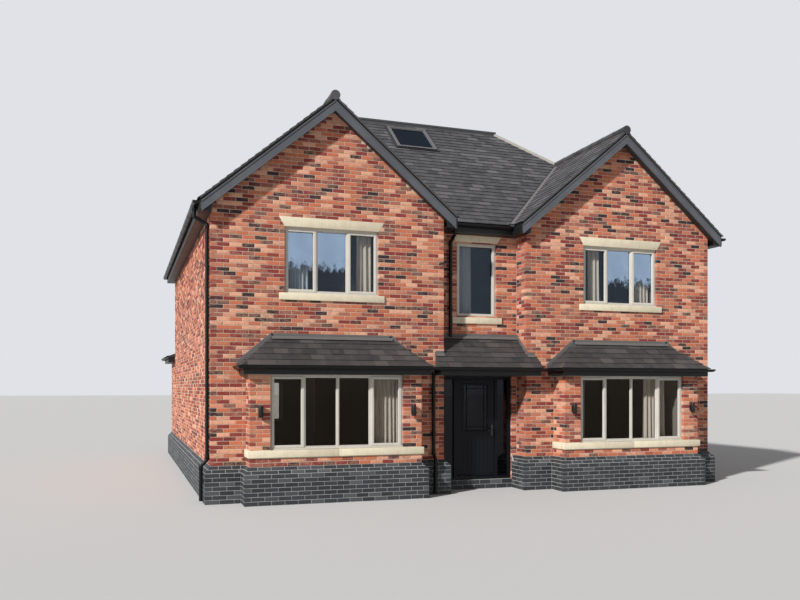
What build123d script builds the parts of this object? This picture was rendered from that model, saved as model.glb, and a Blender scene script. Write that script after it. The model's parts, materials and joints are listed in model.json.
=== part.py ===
from build123d import *
import os
from math import atan, cos, degrees, radians, sin, tan

# A detached two-storey brick house with two gabled wings, a bay window under each gable,
# a recessed front door under a tiled canopy, and a hipped roof cut off flat at the top.
# Millimetres. While it is built, X runs right from the left wing's front corner, Y runs back
# from the wings' front faces and Z runs up from the ground. The last lines move the origin
# to the middle of the footprint, so that the front faces -Y.

# Plan of the brickwork, measured on the outer faces
wing_width = 4510
recess_width = 1830
recess_depth = 440
house_depth = 10300
wall = 300
bay_inset = 635
bay_pier = 360
bay_projection = 450
extension_depth = 1750

# Heights above the ground
floor_level = 190
plinth_top = 675
bay_sill_top = 970
low_soffit = 2330
low_eave = 2500
extension_soffit = 2850
first_floor_top = 2900
upper_sill_top = 3850
centre_sill_top = 3537
upper_head = 5085
eave = 5450

# Plinth of projecting brick with two splayed courses at the top
plinth_projection = 110
plinth_splay = 120

# Floors
first_floor_thickness = 250
loft_floor_top = 5300
loft_floor_thickness = 150

# Main roof: one pitch all round, thicknesses measured plumb
pitch = 40
roof_thickness = 200
overhang = 200
crown_run = 3600
crown_kerb_height = 105
crown_kerb_lap = 20
roof_above_barge = 60
barge_depth = 200
board = 20
board_joint = 2
fascia_drop = 50

# Ridge, hips and flashings
ridge_radius = 80
ridge_lift = 40
hip_radius = 45
flashing = 6
flashing_upstand = 60
flashing_apron = 90
flashing_clearance = 25

# Low roofs over the bays and the door
bay_overhang = 170
bay_side_overhang = 135
canopy_lap = 175
canopy_front = 300

# Gutters and downpipes
gutter_radius = 56
gutter_wall = 5
gutter_drop = 50
pipe_radius = 34
pipe_standoff = 15
pipe_foot = 40
pipe_neck_drop = 75
pipe_neck_fall = 125
pipe_kick = 110
corner_pipe_inset = 150
recess_pipe_inset = 310
bracket_height = 40
bracket_width = 100
side_bracket_heights = (4300, 2600, 1200)
recess_bracket_heights = (4400, 3700)
wing_bracket_heights = (2000, 1200)
foot_bracket_height = 400

# Windows
upper_window_width = 1835
centre_window_width = 910
frame_depth = 70
frame_width = 55
frame_setback = 60
mullion_depth = 40
glass = 20
sill_height = 130
sill_oversail = 40
sill_end = 100
dressing_depth = 105
lintel_height = 180
eaves_lintel_height = 140
lintel_proud = 8
lintel_splay = 105

# Roof window in the front slope
roof_window_width = 980
roof_window_length = 1100
roof_window_bar = 80
roof_window_lift = 60
roof_window_x = 5000
roof_window_run = 3020

# Front door screen: a leaf between two sidelights
screen_width = 1600
screen_member = 60
screen_sill = 50
screen_setback = 50
sidelight_width = 250
door_thickness = 50
door_gap = 8
door_light_width = 550
door_light_bottom = 1200
door_light_top = 2150
door_grooves = 7
groove_width = 8
groove_depth = 4
groove_margin = 120
hinge_radius = 8
hinge_length = 45
hinge_plate = 3
hinge_plate_width = 40
hinge_clearance = 0.3
hinge_heights = (450, 1230, 2010)
handle_height = 1200
handle_plate_width = 40
handle_plate_height = 220
handle_plate = 6
handle_reach = 50
handle_length = 130
handle_radius = 9
spindle_radius = 7
handle_backset = 50

# Wall lamps
lamp_radius = 45
lamp_height = 210
lamp_centre = 1665
lamp_standoff = 30

# Worked-out sizes
house_width = 2 * wing_width + recess_width
middle = house_width / 2
wing_middle = wing_width / 2
rise = tan(radians(pitch))
bay_left = bay_inset
bay_right = wing_width - bay_inset
bay_window_x = (bay_left + bay_pier, bay_right - bay_pier)
bay_window_width = bay_window_x[1] - bay_window_x[0]
rear_eave_line = house_depth + overhang
front_eave_line = recess_depth - overhang
half_span = wing_width / 2 + overhang
ridge_height = eave + half_span * rise
ridge_end = front_eave_line + half_span
crown_left = crown_run - overhang
crown_front = front_eave_line + crown_run
crown_rear = rear_eave_line - crown_run
crown_height = eave + crown_run * rise
first_floor_bottom = first_floor_top - first_floor_thickness
extension_back = house_depth + extension_depth

nodes = {}


def block(x0, x1, y0, y1, z0, z1):
    """A square-cornered solid between two planes on each axis."""
    size = Box(x1 - x0, y1 - y0, z1 - z0, align=(Align.MIN, Align.MIN, Align.MIN))
    return Pos(x0, y0, z0) * size


def plan_prism(points, z0, z1):
    """A plan outline raised from z0 to z1."""
    outline = Polyline(*[(x, y, z0) for x, y in points], close=True)
    return extrude(make_face(outline), amount=z1 - z0, dir=(0, 0, 1))


def cross_prism(points, x0, x1):
    """An outline of (y, z) points drawn along X."""
    outline = Polyline(*[(x0, y, z) for y, z in points], close=True)
    return extrude(make_face(outline), amount=x1 - x0, dir=(1, 0, 0))


def front_prism(points, y0, y1):
    """An outline of (x, z) points drawn along Y."""
    outline = Polyline(*[(x, y0, z) for x, z in points], close=True)
    return extrude(make_face(outline), amount=y1 - y0, dir=(0, 1, 0))


def mirrored(shape):
    """The same piece on the other half of the house."""
    return mirror(shape, about=Plane.YZ.offset(middle))


# Roof planes: each gives the height of the tile surface over a point of the plan.
def left_plane(x, y):
    return eave + (x + overhang) * rise


def front_plane(x, y):
    return eave + (y - front_eave_line) * rise


def rear_plane(x, y):
    return eave + (rear_eave_line - y) * rise


def wing_inner_plane(x, y):
    return eave + (wing_width + overhang - x) * rise


def flat_plane(x, y):
    return crown_height


crown_right = house_width - crown_left
gable_front = -overhang
slopes = {
    "left_wing_outer": (left_plane, [(-overhang, gable_front), (wing_middle, gable_front),
                                     (wing_middle, ridge_end), (-overhang, ridge_end)]),
    "left_wing_inner": (wing_inner_plane, [(wing_middle, gable_front),
                                           (wing_width + overhang, gable_front),
                                           (wing_width + overhang, front_eave_line),
                                           (wing_middle, ridge_end)]),
    "front": (front_plane, [(wing_width + overhang, front_eave_line),
                            (house_width - wing_width - overhang, front_eave_line),
                            (house_width - wing_middle, ridge_end), (crown_right, crown_front),
                            (crown_left, crown_front), (wing_middle, ridge_end)]),
    "left": (left_plane, [(-overhang, ridge_end), (wing_middle, ridge_end),
                          (crown_left, crown_front), (crown_left, crown_rear),
                          (-overhang, rear_eave_line)]),
    "rear": (rear_plane, [(-overhang, rear_eave_line), (crown_left, crown_rear),
                          (crown_right, crown_rear), (house_width + overhang, rear_eave_line)]),
    "crown": (flat_plane, [(crown_left, crown_front), (crown_right, crown_front),
                           (crown_right, crown_rear), (crown_left, crown_rear)]),
}


def slope_face(name, drop):
    """The face of one roof plane, lowered plumb by drop."""
    plane, points = slopes[name]
    outline = Polyline(*[(x, y, plane(x, y) - drop) for x, y in points], close=True)
    return make_face(outline)


def slope_slab(name):
    """One roof slope with plumb edges at its eave, hips and valleys."""
    return extrude(slope_face(name, 0), amount=roof_thickness, dir=(0, 0, -1))


def over_slope(name):
    """All that lies above the underside of one roof slope."""
    return extrude(slope_face(name, roof_thickness), amount=2 * crown_height, dir=(0, 0, 1))


left_half_overheads = [over_slope(name) for name in ("left_wing_outer", "left_wing_inner", "left")]
overheads = (left_half_overheads + [mirrored(solid) for solid in left_half_overheads]
             + [over_slope("front"), over_slope("rear"), over_slope("crown")])


def under_roof(shape):
    """A wall cut off at the underside of the roof."""
    return shape - overheads


# Plinth and ground floor
def house_outline():
    """Plan of the outer wall faces, bays and extension included."""
    left_front = [(0, 0), (bay_left, 0), (bay_left, -bay_projection), (bay_right, -bay_projection),
                  (bay_right, 0), (wing_width, 0), (wing_width, recess_depth)]
    right_front = [(house_width - x, y) for x, y in reversed(left_front)]
    back = [(house_width, house_depth), (wing_width, house_depth), (wing_width, extension_back),
            (0, extension_back)]
    return left_front + right_front + back


def room_outline():
    """Plan of the inner wall faces of the main house, without bays and extension."""
    left_front = [(wall, wall), (wing_width - wall, wall), (wing_width - wall, recess_depth + wall)]
    right_front = [(house_width - x, y) for x, y in reversed(left_front)]
    return left_front + right_front + [(house_width - wall, house_depth - wall),
                                       (wall, house_depth - wall)]


def room_space(z0, z1):
    """The hollow of the ground storey: main room, both bays and the extension."""
    bay_hollow = block(bay_left + wall, bay_right - wall, wall - bay_projection, wall, z0, z1)
    extension_hollow = block(wall, wing_width - wall, house_depth - wall, extension_back - wall, z0, z1)
    return plan_prism(room_outline(), z0, z1) + bay_hollow + mirrored(bay_hollow) + extension_hollow


footing = Polyline(*[(x, y, 0) for x, y in house_outline()], close=True)
footprint = make_face(footing)
projecting = offset(footprint, amount=plinth_projection, kind=Kind.INTERSECTION)
splay_foot = plinth_top - plinth_splay
splay_face = Pos(0, 0, splay_foot) * projecting
splay_angle = 90 - Vector(plinth_projection, plinth_splay).get_angle(Vector(1, 0))
splayed_course = extrude(splay_face, amount=plinth_splay, dir=(0, 0, 1), taper=splay_angle)
plinth_block = extrude(projecting, amount=splay_foot, dir=(0, 0, 1)) + splayed_course
plinth_block -= room_space(0, plinth_top)

screen_left = middle - screen_width / 2
screen_right = middle + screen_width / 2
doorway = block(wing_width + plinth_projection, house_width - wing_width - plinth_projection,
                recess_depth - plinth_projection, recess_depth + wall, 0, plinth_top)
plinth_block -= doorway
for side in (0, 1):
    pier = block(wing_width, wing_width + plinth_projection, recess_depth, recess_depth + wall,
                 floor_level, plinth_top)
    plinth_block -= mirrored(pier) if side else pier

front_zone = block(-wall, middle, -2 * bay_projection, recess_depth + wall, 0, plinth_top)
side_zone = block(-wall, wing_middle, recess_depth + wall, house_depth - wall, 0, plinth_top)
rear_zone = block(-wall, house_width + wall, house_depth - wall, extension_back + wall, 0, plinth_top)
nodes["left_front_plinth"] = plinth_block & front_zone
nodes["right_front_plinth"] = plinth_block & mirrored(front_zone)
nodes["side_plinths"] = (plinth_block & side_zone) + (plinth_block & mirrored(side_zone))
nodes["rear_plinth"] = plinth_block & rear_zone
nodes["ground_floor"] = room_space(0, floor_level)
nodes["door_threshold"] = block(wing_width + plinth_projection,
                                house_width - wing_width - plinth_projection,
                                recess_depth, recess_depth + wall, 0, floor_level)


# Windows with their stone dressings
def window_frame(x0, x1, y_front, z0, z1, lights):
    """A perimeter frame with upright mullions that divide it into equal lights."""
    frame = block(x0, x1, y_front, y_front + frame_depth, z0, z1)
    inside = block(x0 + frame_width, x1 - frame_width, y_front, y_front + frame_depth,
                   z0 + frame_width, z1 - frame_width)
    frame -= inside
    light = (x1 - x0) / lights
    for number in range(1, lights):
        centre = x0 + number * light
        frame += block(centre - frame_width / 2, centre + frame_width / 2, y_front,
                       y_front + mullion_depth, z0 + frame_width, z1 - frame_width)
    return frame


def window_glass(x0, x1, y_front, z0, z1):
    """One sheet of glass behind a window's mullions."""
    return block(x0 + frame_width, x1 - frame_width, y_front + mullion_depth,
                 y_front + mullion_depth + glass, z0 + frame_width, z1 - frame_width)


def stone_sill(x0, x1, face, top):
    """A stone sill that oversails the wall below a window."""
    return block(x0 - sill_end, x1 + sill_end, face - sill_oversail, face + dressing_depth,
                 top - sill_height, top)


def stone_lintel(x0, x1, face, bottom, height):
    """A stone lintel with splayed ends over a window."""
    top = bottom + height
    points = [(x0, bottom), (x1, bottom), (x1 + lintel_splay, top), (x0 - lintel_splay, top)]
    return front_prism(points, face - lintel_proud, face + dressing_depth)


def dressed_window(centre, width, face, sill_top, head, lights, over=eaves_lintel_height):
    """Frame, glass, sill, lintel and the hole they leave in a wall."""
    x0 = centre - width / 2
    x1 = centre + width / 2
    frame = window_frame(x0, x1, face + frame_setback, sill_top, head, lights)
    sheet = window_glass(x0, x1, face + frame_setback, sill_top, head)
    sill = stone_sill(x0, x1, face, sill_top)
    lintel = stone_lintel(x0, x1, face, head, over)
    hole = block(x0, x1, face - wall, face + 2 * wall, sill_top, head) + sill + lintel
    return {"frame": frame, "glass": sheet, "sill": sill, "lintel": lintel, "hole": hole}


def turned_to_rear(window):
    """The same window in the rear wall, or in the extension's."""
    return {name: Pos(house_width, house_depth, 0) * Rot(0, 0, 180) * shape
            for name, shape in window.items()}


right_wing_middle = house_width - wing_middle
left_upper = dressed_window(wing_middle, upper_window_width, 0, upper_sill_top, upper_head, 3,
                            lintel_height)
right_upper = dressed_window(right_wing_middle, upper_window_width, 0, upper_sill_top, upper_head,
                             3, lintel_height)
rear_left = dressed_window(right_wing_middle, upper_window_width, 0, upper_sill_top, upper_head, 3)
rear_right = dressed_window(wing_middle, upper_window_width, 0, upper_sill_top, upper_head, 3)
centre_upper = dressed_window(middle, centre_window_width, recess_depth, centre_sill_top,
                              upper_head, 1)
rear_centre = dressed_window(middle, centre_window_width, 0, upper_sill_top, upper_head, 1)
rear_ground = dressed_window(wing_middle, bay_window_width, 0, bay_sill_top, low_soffit, 4)
rear_uppers = [turned_to_rear(window) for window in (rear_left, rear_right, rear_centre)]
rear_room = turned_to_rear(rear_ground)
extension_window = {name: Pos(right_wing_middle - wing_middle, 0, 0) * shape
                    for name, shape in rear_ground.items()}
extension_window = {name: Pos(0, extension_depth, 0) * shape
                    for name, shape in turned_to_rear(extension_window).items()}
rear_windows = rear_uppers + [rear_room, extension_window]
front_uppers = [left_upper, centre_upper, right_upper]

bay_frame_y = -bay_projection + frame_setback
left_bay_frame = window_frame(*bay_window_x, bay_frame_y, bay_sill_top, low_soffit, 4)
left_bay_glass = window_glass(*bay_window_x, bay_frame_y, bay_sill_top, low_soffit)


def joined(shapes):
    """Several separate solids in one piece."""
    return Part() + list(shapes)


nodes["bay_window_frames"] = joined([left_bay_frame, mirrored(left_bay_frame)])
nodes["upper_window_frames"] = joined(window["frame"] for window in front_uppers)
nodes["rear_window_frames"] = joined(window["frame"] for window in rear_windows)
nodes["rear_window_glass"] = joined(window["glass"] for window in rear_windows)
nodes["upper_window_sills"] = joined(window["sill"] for window in front_uppers)
nodes["upper_window_lintels"] = joined(window["lintel"] for window in front_uppers)
nodes["rear_sills_and_lintels"] = joined([window[stone] for window in rear_windows
                                          for stone in ("sill", "lintel")])

# Bays: brick to the sill band, a stone band round three sides, piers and a beam above
band_outer = block(bay_left - sill_oversail, bay_right + sill_oversail,
                   -bay_projection - sill_oversail, 0, bay_sill_top - sill_height, bay_sill_top)
band_inner = block(bay_left + dressing_depth, bay_right - dressing_depth,
                   -bay_projection + dressing_depth, 0, bay_sill_top - sill_height, bay_sill_top)
band = band_outer - band_inner
bay_hollow = block(bay_left + wall, bay_right - wall, wall - bay_projection, 0, plinth_top, low_eave)
bay_hole = block(*bay_window_x, -bay_projection, wall - bay_projection, bay_sill_top, low_soffit)
bay_wall = block(bay_left, bay_right, -bay_projection, 0, plinth_top, low_eave)
bay_wall -= [bay_hollow, bay_hole, band]
nodes["left_bay_wall"] = bay_wall
nodes["right_bay_wall"] = mirrored(bay_wall)
nodes["bay_sills"] = joined([band, mirrored(band)])

# Brick walls above the plinth
wing_piers = [block(0, bay_left + wall, 0, wall, plinth_top, low_eave),
              block(bay_right - wall, wing_width, 0, wall, plinth_top, low_eave)]
nodes["wing_front_piers"] = joined(wing_piers + [mirrored(pier) for pier in wing_piers])

gable_wall = under_roof(block(0, wing_width, 0, wall, low_eave, ridge_height))
nodes["left_gable_wall"] = gable_wall - left_upper["hole"]
nodes["right_gable_wall"] = mirrored(gable_wall) - right_upper["hole"]

wing_return = under_roof(block(wing_width - wall, wing_width, wall, recess_depth + wall,
                               plinth_top, ridge_height))
nodes["wing_return_walls"] = joined([wing_return, mirrored(wing_return)])

screen_pier = block(wing_width, screen_left, recess_depth, recess_depth + wall,
                    floor_level, low_soffit)
nodes["doorway_piers"] = joined([screen_pier, mirrored(screen_pier)])
recess_wall = under_roof(block(wing_width, house_width - wing_width, recess_depth,
                               recess_depth + wall, low_soffit, ridge_height))
nodes["recess_wall"] = recess_wall - centre_upper["hole"]

side_wall = under_roof(block(0, wall, wall, house_depth, plinth_top, ridge_height))
nodes["left_side_wall"] = side_wall
nodes["right_side_wall"] = mirrored(side_wall)

rear_ground_wall = block(wing_width - wall, house_width - wall, house_depth - wall, house_depth,
                         plinth_top, first_floor_bottom)
nodes["rear_ground_wall"] = rear_ground_wall - rear_room["hole"]
rear_upper_wall = under_roof(block(wall, house_width - wall, house_depth - wall, house_depth,
                                   first_floor_bottom, ridge_height))
nodes["rear_upper_wall"] = rear_upper_wall - [window["hole"] for window in rear_uppers]

extension_low_eave = extension_soffit + low_eave - low_soffit
extension_walls = block(0, wing_width, house_depth, extension_back, plinth_top, extension_low_eave)
extension_walls -= block(wall, wing_width - wall, house_depth, extension_back - wall,
                         plinth_top, extension_low_eave)
nodes["extension_walls"] = extension_walls - extension_window["hole"]

# Upper floors
nodes["first_floor"] = plan_prism(room_outline(), first_floor_bottom, first_floor_top)
nodes["loft_floor"] = plan_prism(room_outline(), loft_floor_top - loft_floor_thickness,
                                 loft_floor_top)

# Main roof
slope_normal = Vector(0, -sin(radians(pitch)), cos(radians(pitch)))
roof_window_y = roof_window_run + front_eave_line
roof_window_seat = Plane(origin=(roof_window_x, roof_window_y, front_plane(0, roof_window_y)),
                         x_dir=(1, 0, 0), z_dir=slope_normal)
normal_thickness = roof_thickness * cos(radians(pitch))


def in_roof_window_plane(width, length, low, high):
    """A block square to the front slope, centred on the roof window."""
    shape = Box(width, length, high - low, align=(Align.CENTER, Align.CENTER, Align.MIN))
    return roof_window_seat * Pos(0, 0, low) * shape


window_hole = in_roof_window_plane(roof_window_width, roof_window_length,
                                   -2 * roof_thickness, 2 * roof_thickness)
roof_frame = in_roof_window_plane(roof_window_width, roof_window_length,
                                  -normal_thickness, roof_window_lift)
roof_frame -= in_roof_window_plane(roof_window_width - 2 * roof_window_bar,
                                   roof_window_length - 2 * roof_window_bar,
                                   -2 * roof_thickness, 2 * roof_thickness)
roof_pane = in_roof_window_plane(roof_window_width - 2 * roof_window_bar,
                                 roof_window_length - 2 * roof_window_bar, glass, 2 * glass)
nodes["roof_window_frame"] = roof_frame
nodes["front_roof_slope"] = slope_slab("front") - window_hole
nodes["left_roof_slope"] = slope_slab("left")
nodes["right_roof_slope"] = mirrored(slope_slab("left"))
nodes["rear_roof_slope"] = slope_slab("rear")
kerb = block(crown_left - crown_kerb_lap, crown_right + crown_kerb_lap,
             crown_front - crown_kerb_lap, crown_rear + crown_kerb_lap,
             crown_height, crown_height + crown_kerb_height)
nodes["crown_roof"] = slope_slab("crown") + kerb
wing_roof = slope_slab("left_wing_outer") + slope_slab("left_wing_inner")
nodes["left_wing_roof"] = wing_roof
nodes["right_wing_roof"] = mirrored(wing_roof)

# Ridge capping of the gables, and the caps of the four hips
ridge_axis = ridge_height + ridge_lift
ridge = front_prism([(wing_middle - ridge_radius, ridge_height - ridge_radius),
                     (wing_middle + ridge_radius, ridge_height - ridge_radius),
                     (wing_middle + ridge_radius, ridge_axis),
                     (wing_middle - ridge_radius, ridge_axis)], gable_front, ridge_end)
roll_plane = Plane(origin=(wing_middle, gable_front, ridge_axis), x_dir=(1, 0, 0), z_dir=(0, 1, 0))
ridge += extrude(roll_plane * Circle(ridge_radius), amount=ridge_end - gable_front)
ridge -= [wing_roof, slope_slab("front"), slope_slab("left")]
nodes["gable_ridges"] = joined([ridge, mirrored(ridge)])


def hip_cap(start, end):
    """A rounded cap along a hip, bedded on the two slopes that meet there."""
    line = Vector(*end) - Vector(*start)
    section = Plane(origin=start, z_dir=line) * Circle(hip_radius)
    return extrude(section, amount=line.length)


front_hip = hip_cap((wing_middle, ridge_end, ridge_height), (crown_left, crown_front, crown_height))
rear_hip = hip_cap((-overhang, rear_eave_line, eave), (crown_left, crown_rear, crown_height))
left_hips = [front_hip - [slope_slab("front"), slope_slab("left"), wing_roof, ridge,
                          nodes["crown_roof"]],
             rear_hip - [slope_slab("rear"), slope_slab("left"), nodes["crown_roof"]]]
nodes["hip_caps"] = joined(left_hips + [mirrored(hip) for hip in left_hips])

# Boards under the verges and the eaves
barge_top = eave - roof_above_barge


def barge_line(drop):
    """The barge board's upper edge, lowered plumb by drop."""
    foot = overhang - board
    return [(-foot, barge_top + board * rise - drop),
            (wing_middle, barge_top + half_span * rise - drop),
            (wing_width + foot, barge_top + board * rise - drop)]


barge = front_prism(barge_line(0) + barge_line(barge_depth)[::-1], gable_front - board, gable_front)
nodes["barge_boards"] = joined([barge, mirrored(barge)])

main_soffit = eave - roof_thickness
fascia_top = eave - fascia_drop


def eaves_profile(sign, wall_face, soffit, top):
    """Fascia and soffit in one, as (across, height) points out from a wall face."""
    out = wall_face + sign * (overhang + board)
    line = wall_face + sign * overhang
    return [(wall_face, soffit - board), (out, soffit - board), (out, top), (line, top),
            (line, soffit), (wall_face, soffit)]


left_eaves = front_prism(eaves_profile(-1, 0, main_soffit, fascia_top),
                         gable_front, rear_eave_line + board - board_joint)
rear_eaves = cross_prism(eaves_profile(1, house_depth, main_soffit, fascia_top),
                         board_joint, house_width - board_joint)
left_eaves -= block(-overhang, 0, rear_eave_line, rear_eave_line + wall, 0, eave)
recess_eaves = cross_prism(eaves_profile(-1, recess_depth, main_soffit, fascia_top),
                           wing_width, house_width - wing_width)
recess_eaves -= [wing_roof, mirrored(wing_roof)]
wing_eaves = front_prism(eaves_profile(1, wing_width, main_soffit, fascia_top),
                         gable_front, front_eave_line - board - board_joint)
eaves_end = main_soffit + overhang * rise
left_eaves += front_prism([(-overhang, main_soffit), (0, main_soffit), (0, eaves_end)],
                          gable_front, gable_front + board)
wing_eaves += front_prism([(wing_width + overhang, main_soffit), (wing_width, eaves_end),
                           (wing_width, main_soffit)], gable_front, gable_front + board)
nodes["eaves_boards"] = joined([left_eaves, mirrored(left_eaves), rear_eaves, recess_eaves,
                                wing_eaves, mirrored(wing_eaves)])


# Low roofs: a boxed eave with a lean-to on top of it
def lean_to(x0, x1, eave_line, wall_line, height, angle):
    """A lean-to roof hipped at both ends, solid down to its eave."""
    run = abs(wall_line - eave_line)
    top = height + run * tan(radians(angle))
    low, high = sorted((eave_line, wall_line))
    slope = cross_prism([(eave_line, height), (wall_line, height), (wall_line, top)], x0, x1)
    ends = front_prism([(x0, height), (x1, height), (x1 - run, top), (x0 + run, top)], low, high)
    return slope & ends


def flashing_strip(x0, x1, wall_line, sign, top, angle):
    """Lead turned up the wall and dressed down over the top of a low roof."""
    fall = tan(radians(angle))
    foot = wall_line + sign * flashing_apron
    turn = wall_line + sign * flashing
    lift = flashing / cos(radians(angle))
    return cross_prism([(wall_line, top), (foot, top - flashing_apron * fall),
                        (foot, top - flashing_apron * fall + lift),
                        (turn, top - flashing * fall + lift),
                        (turn, top + flashing_upstand), (wall_line, top + flashing_upstand)], x0, x1)


bay_run = bay_projection + bay_overhang
bay_roof_x = (bay_left - bay_side_overhang, bay_right + bay_side_overhang)
bay_roof = lean_to(*bay_roof_x, -bay_run, 0, low_eave, pitch)
bay_box = block(*bay_roof_x, -bay_run, 0, low_soffit, low_eave)
bay_box -= block(bay_left, bay_right, -bay_projection, 0, low_soffit, low_eave)
bay_flashing = flashing_strip(bay_roof_x[0] + bay_run, bay_roof_x[1] - bay_run, 0, -1,
                              low_eave + bay_run * rise, pitch)

canopy_x = (wing_width - canopy_lap, house_width - wing_width + canopy_lap)
canopy_run = canopy_front + recess_depth
canopy_top = low_eave + canopy_run * rise
left_wing_block = block(0, wing_width, 0, recess_depth, 0, eave)
canopy_cut = [left_wing_block, mirrored(left_wing_block)]
canopy_roof = cross_prism([(-canopy_front, low_eave), (recess_depth, low_eave),
                           (recess_depth, canopy_top)], *canopy_x) - canopy_cut
canopy_box = block(*canopy_x, -canopy_front, recess_depth, low_soffit, low_eave) - canopy_cut
canopy_flashing = flashing_strip(wing_width, house_width - wing_width, recess_depth, -1, canopy_top,
                                 pitch)

extension_x = (-overhang, wing_width + overhang)
extension_run = extension_depth + overhang
extension_eave_line = extension_back + overhang
extension_top = upper_sill_top - sill_height - flashing_clearance - flashing_upstand
extension_pitch = degrees(atan((extension_top - extension_low_eave) / extension_run))
extension_roof = lean_to(*extension_x, extension_eave_line, house_depth, extension_low_eave,
                         extension_pitch)
extension_box = block(*extension_x, house_depth, extension_eave_line, extension_soffit,
                      extension_low_eave)
extension_box -= block(0, wing_width, house_depth, extension_back, extension_soffit,
                       extension_low_eave)
extension_flashing = flashing_strip(extension_x[0] + extension_run, extension_x[1] - extension_run,
                                    house_depth, 1, extension_top, extension_pitch)

nodes["bay_roofs"] = joined([bay_roof, mirrored(bay_roof)])
nodes["canopy_roof"] = canopy_roof
nodes["extension_roof"] = extension_roof
nodes["bay_eaves"] = joined([bay_box, mirrored(bay_box)])
nodes["canopy_eaves"] = canopy_box
nodes["extension_eaves"] = extension_box
nodes["lead_flashings"] = joined([bay_flashing, mirrored(bay_flashing), canopy_flashing,
                                  extension_flashing])


# Gutters
def gutter(corners, top):
    """A half-round gutter round the foot of a roof, which lies on the right of its run."""
    path = Polyline(*[(x, y, top) for x, y in corners])
    along = path % 0
    outward = Vector(0, 0, 1).cross(along)
    section = Plane(origin=path @ 0 + outward * gutter_radius, x_dir=outward, z_dir=along)
    upper_half = Rectangle(3 * gutter_radius, 2 * gutter_radius, align=(Align.CENTER, Align.MIN))
    trough = Circle(gutter_radius) - Circle(gutter_radius - gutter_wall) - upper_half
    return sweep(section * trough, path=path, transition=Transition.RIGHT)


def low_gutter(x0, x1, wall_line, eave_line, top):
    """A gutter round three sides of a low roof, from the wall and back to it."""
    start, end = (x0, x1) if eave_line > wall_line else (x1, x0)
    return gutter([(start, wall_line), (start, eave_line), (end, eave_line), (end, wall_line)], top)


gutter_face = overhang + board
main_gutter_top = eave - gutter_drop
nodes["roof_gutters"] = joined([
    gutter([(-gutter_face, gable_front), (-gutter_face, rear_eave_line + board),
            (house_width + gutter_face, rear_eave_line + board),
            (house_width + gutter_face, gable_front)], main_gutter_top),
    gutter([(house_width - wing_width - gutter_face, front_eave_line - board),
            (wing_width + gutter_face, front_eave_line - board)], main_gutter_top)])
bay_gutter = low_gutter(*bay_roof_x, 0, -bay_run, low_eave - board)
canopy_gutter = low_gutter(*canopy_x, 0, -canopy_front, low_eave - board)
extension_gutter = low_gutter(*extension_x, house_depth, extension_eave_line,
                              extension_low_eave - board)
nodes["low_gutters"] = joined([bay_gutter, mirrored(bay_gutter), canopy_gutter, extension_gutter])


# Downpipes
def downpipe(points, brackets, outward):
    """A round pipe in straight mitred runs, held off the wall by brackets."""
    path = Polyline(*points)
    section = Plane(origin=points[0], z_dir=path % 0) * Circle(pipe_radius)
    pipe = sweep(section, path=path, transition=Transition.RIGHT)
    for x, y, z in brackets:
        depth = pipe_radius + pipe_standoff
        middle_x = x - outward[0] * depth / 2
        middle_y = y - outward[1] * depth / 2
        size_x = depth if outward[0] else bracket_width
        size_y = depth if outward[1] else bracket_width
        pipe += Pos(middle_x, middle_y, z) * Box(size_x, size_y, bracket_height)
    return pipe


pipe_off = pipe_radius + pipe_standoff
foot_off = pipe_off + plinth_projection
gutter_axis = gutter_face + gutter_radius
outlet = main_gutter_top - gutter_radius
neck_top = main_soffit - pipe_neck_drop
neck_foot = neck_top - pipe_neck_fall
kick_top = plinth_top + pipe_kick


def side_pipe(y):
    """A downpipe on the left side wall, from the eaves gutter to the ground."""
    points = [(-gutter_axis, y, outlet), (-gutter_axis, y, neck_top), (-pipe_off, y, neck_foot),
              (-pipe_off, y, kick_top), (-foot_off, y, plinth_top), (-foot_off, y, pipe_foot)]
    brackets = [(-pipe_off, y, height) for height in side_bracket_heights]
    return downpipe(points, brackets + [(-foot_off, y, foot_bracket_height)], (-1, 0))


recess_pipe_x = wing_width + recess_pipe_inset
recess_gutter_axis = front_eave_line - board - gutter_radius
recess_line = recess_depth - pipe_off
canopy_surface = low_eave + (recess_line + canopy_front) * rise
recess_pipe = downpipe([(recess_pipe_x, recess_gutter_axis, outlet),
                        (recess_pipe_x, recess_gutter_axis, neck_top),
                        (recess_pipe_x, recess_line, neck_foot),
                        (recess_pipe_x, recess_line, canopy_surface + pipe_foot)],
                       [(recess_pipe_x, recess_line, height) for height in recess_bracket_heights],
                       (0, -1))
wing_pipe_x = canopy_x[0] - gutter_radius
low_outlet = low_eave - board - gutter_radius
wing_pipe = downpipe([(wing_pipe_x, -pipe_off, low_outlet), (wing_pipe_x, -pipe_off, kick_top),
                      (wing_pipe_x, -foot_off, plinth_top), (wing_pipe_x, -foot_off, pipe_foot)],
                     [(wing_pipe_x, -pipe_off, height) for height in wing_bracket_heights]
                     + [(wing_pipe_x, -foot_off, foot_bracket_height)], (0, -1))
nodes["downpipes"] = joined([side_pipe(corner_pipe_inset), recess_pipe, wing_pipe,
                             mirrored(side_pipe(house_depth - corner_pipe_inset))])

# Front door screen
screen_front = recess_depth + screen_setback
screen_back = screen_front + frame_depth
leaf_left = screen_left + 2 * screen_member + sidelight_width
leaf_right = screen_right - 2 * screen_member - sidelight_width
screen_foot = floor_level + screen_sill
screen_head = low_soffit - screen_member
screen = block(screen_left, screen_right, screen_front, screen_back, floor_level, low_soffit)
light_spaces = [(screen_left + screen_member, screen_left + screen_member + sidelight_width),
                (leaf_left, leaf_right),
                (screen_right - screen_member - sidelight_width, screen_right - screen_member)]
for x0, x1 in light_spaces:
    screen -= block(x0, x1, screen_front, screen_back, screen_foot, screen_head)
hinge_x = leaf_left + door_gap / 2
hinge_y = screen_back + hinge_radius


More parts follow.
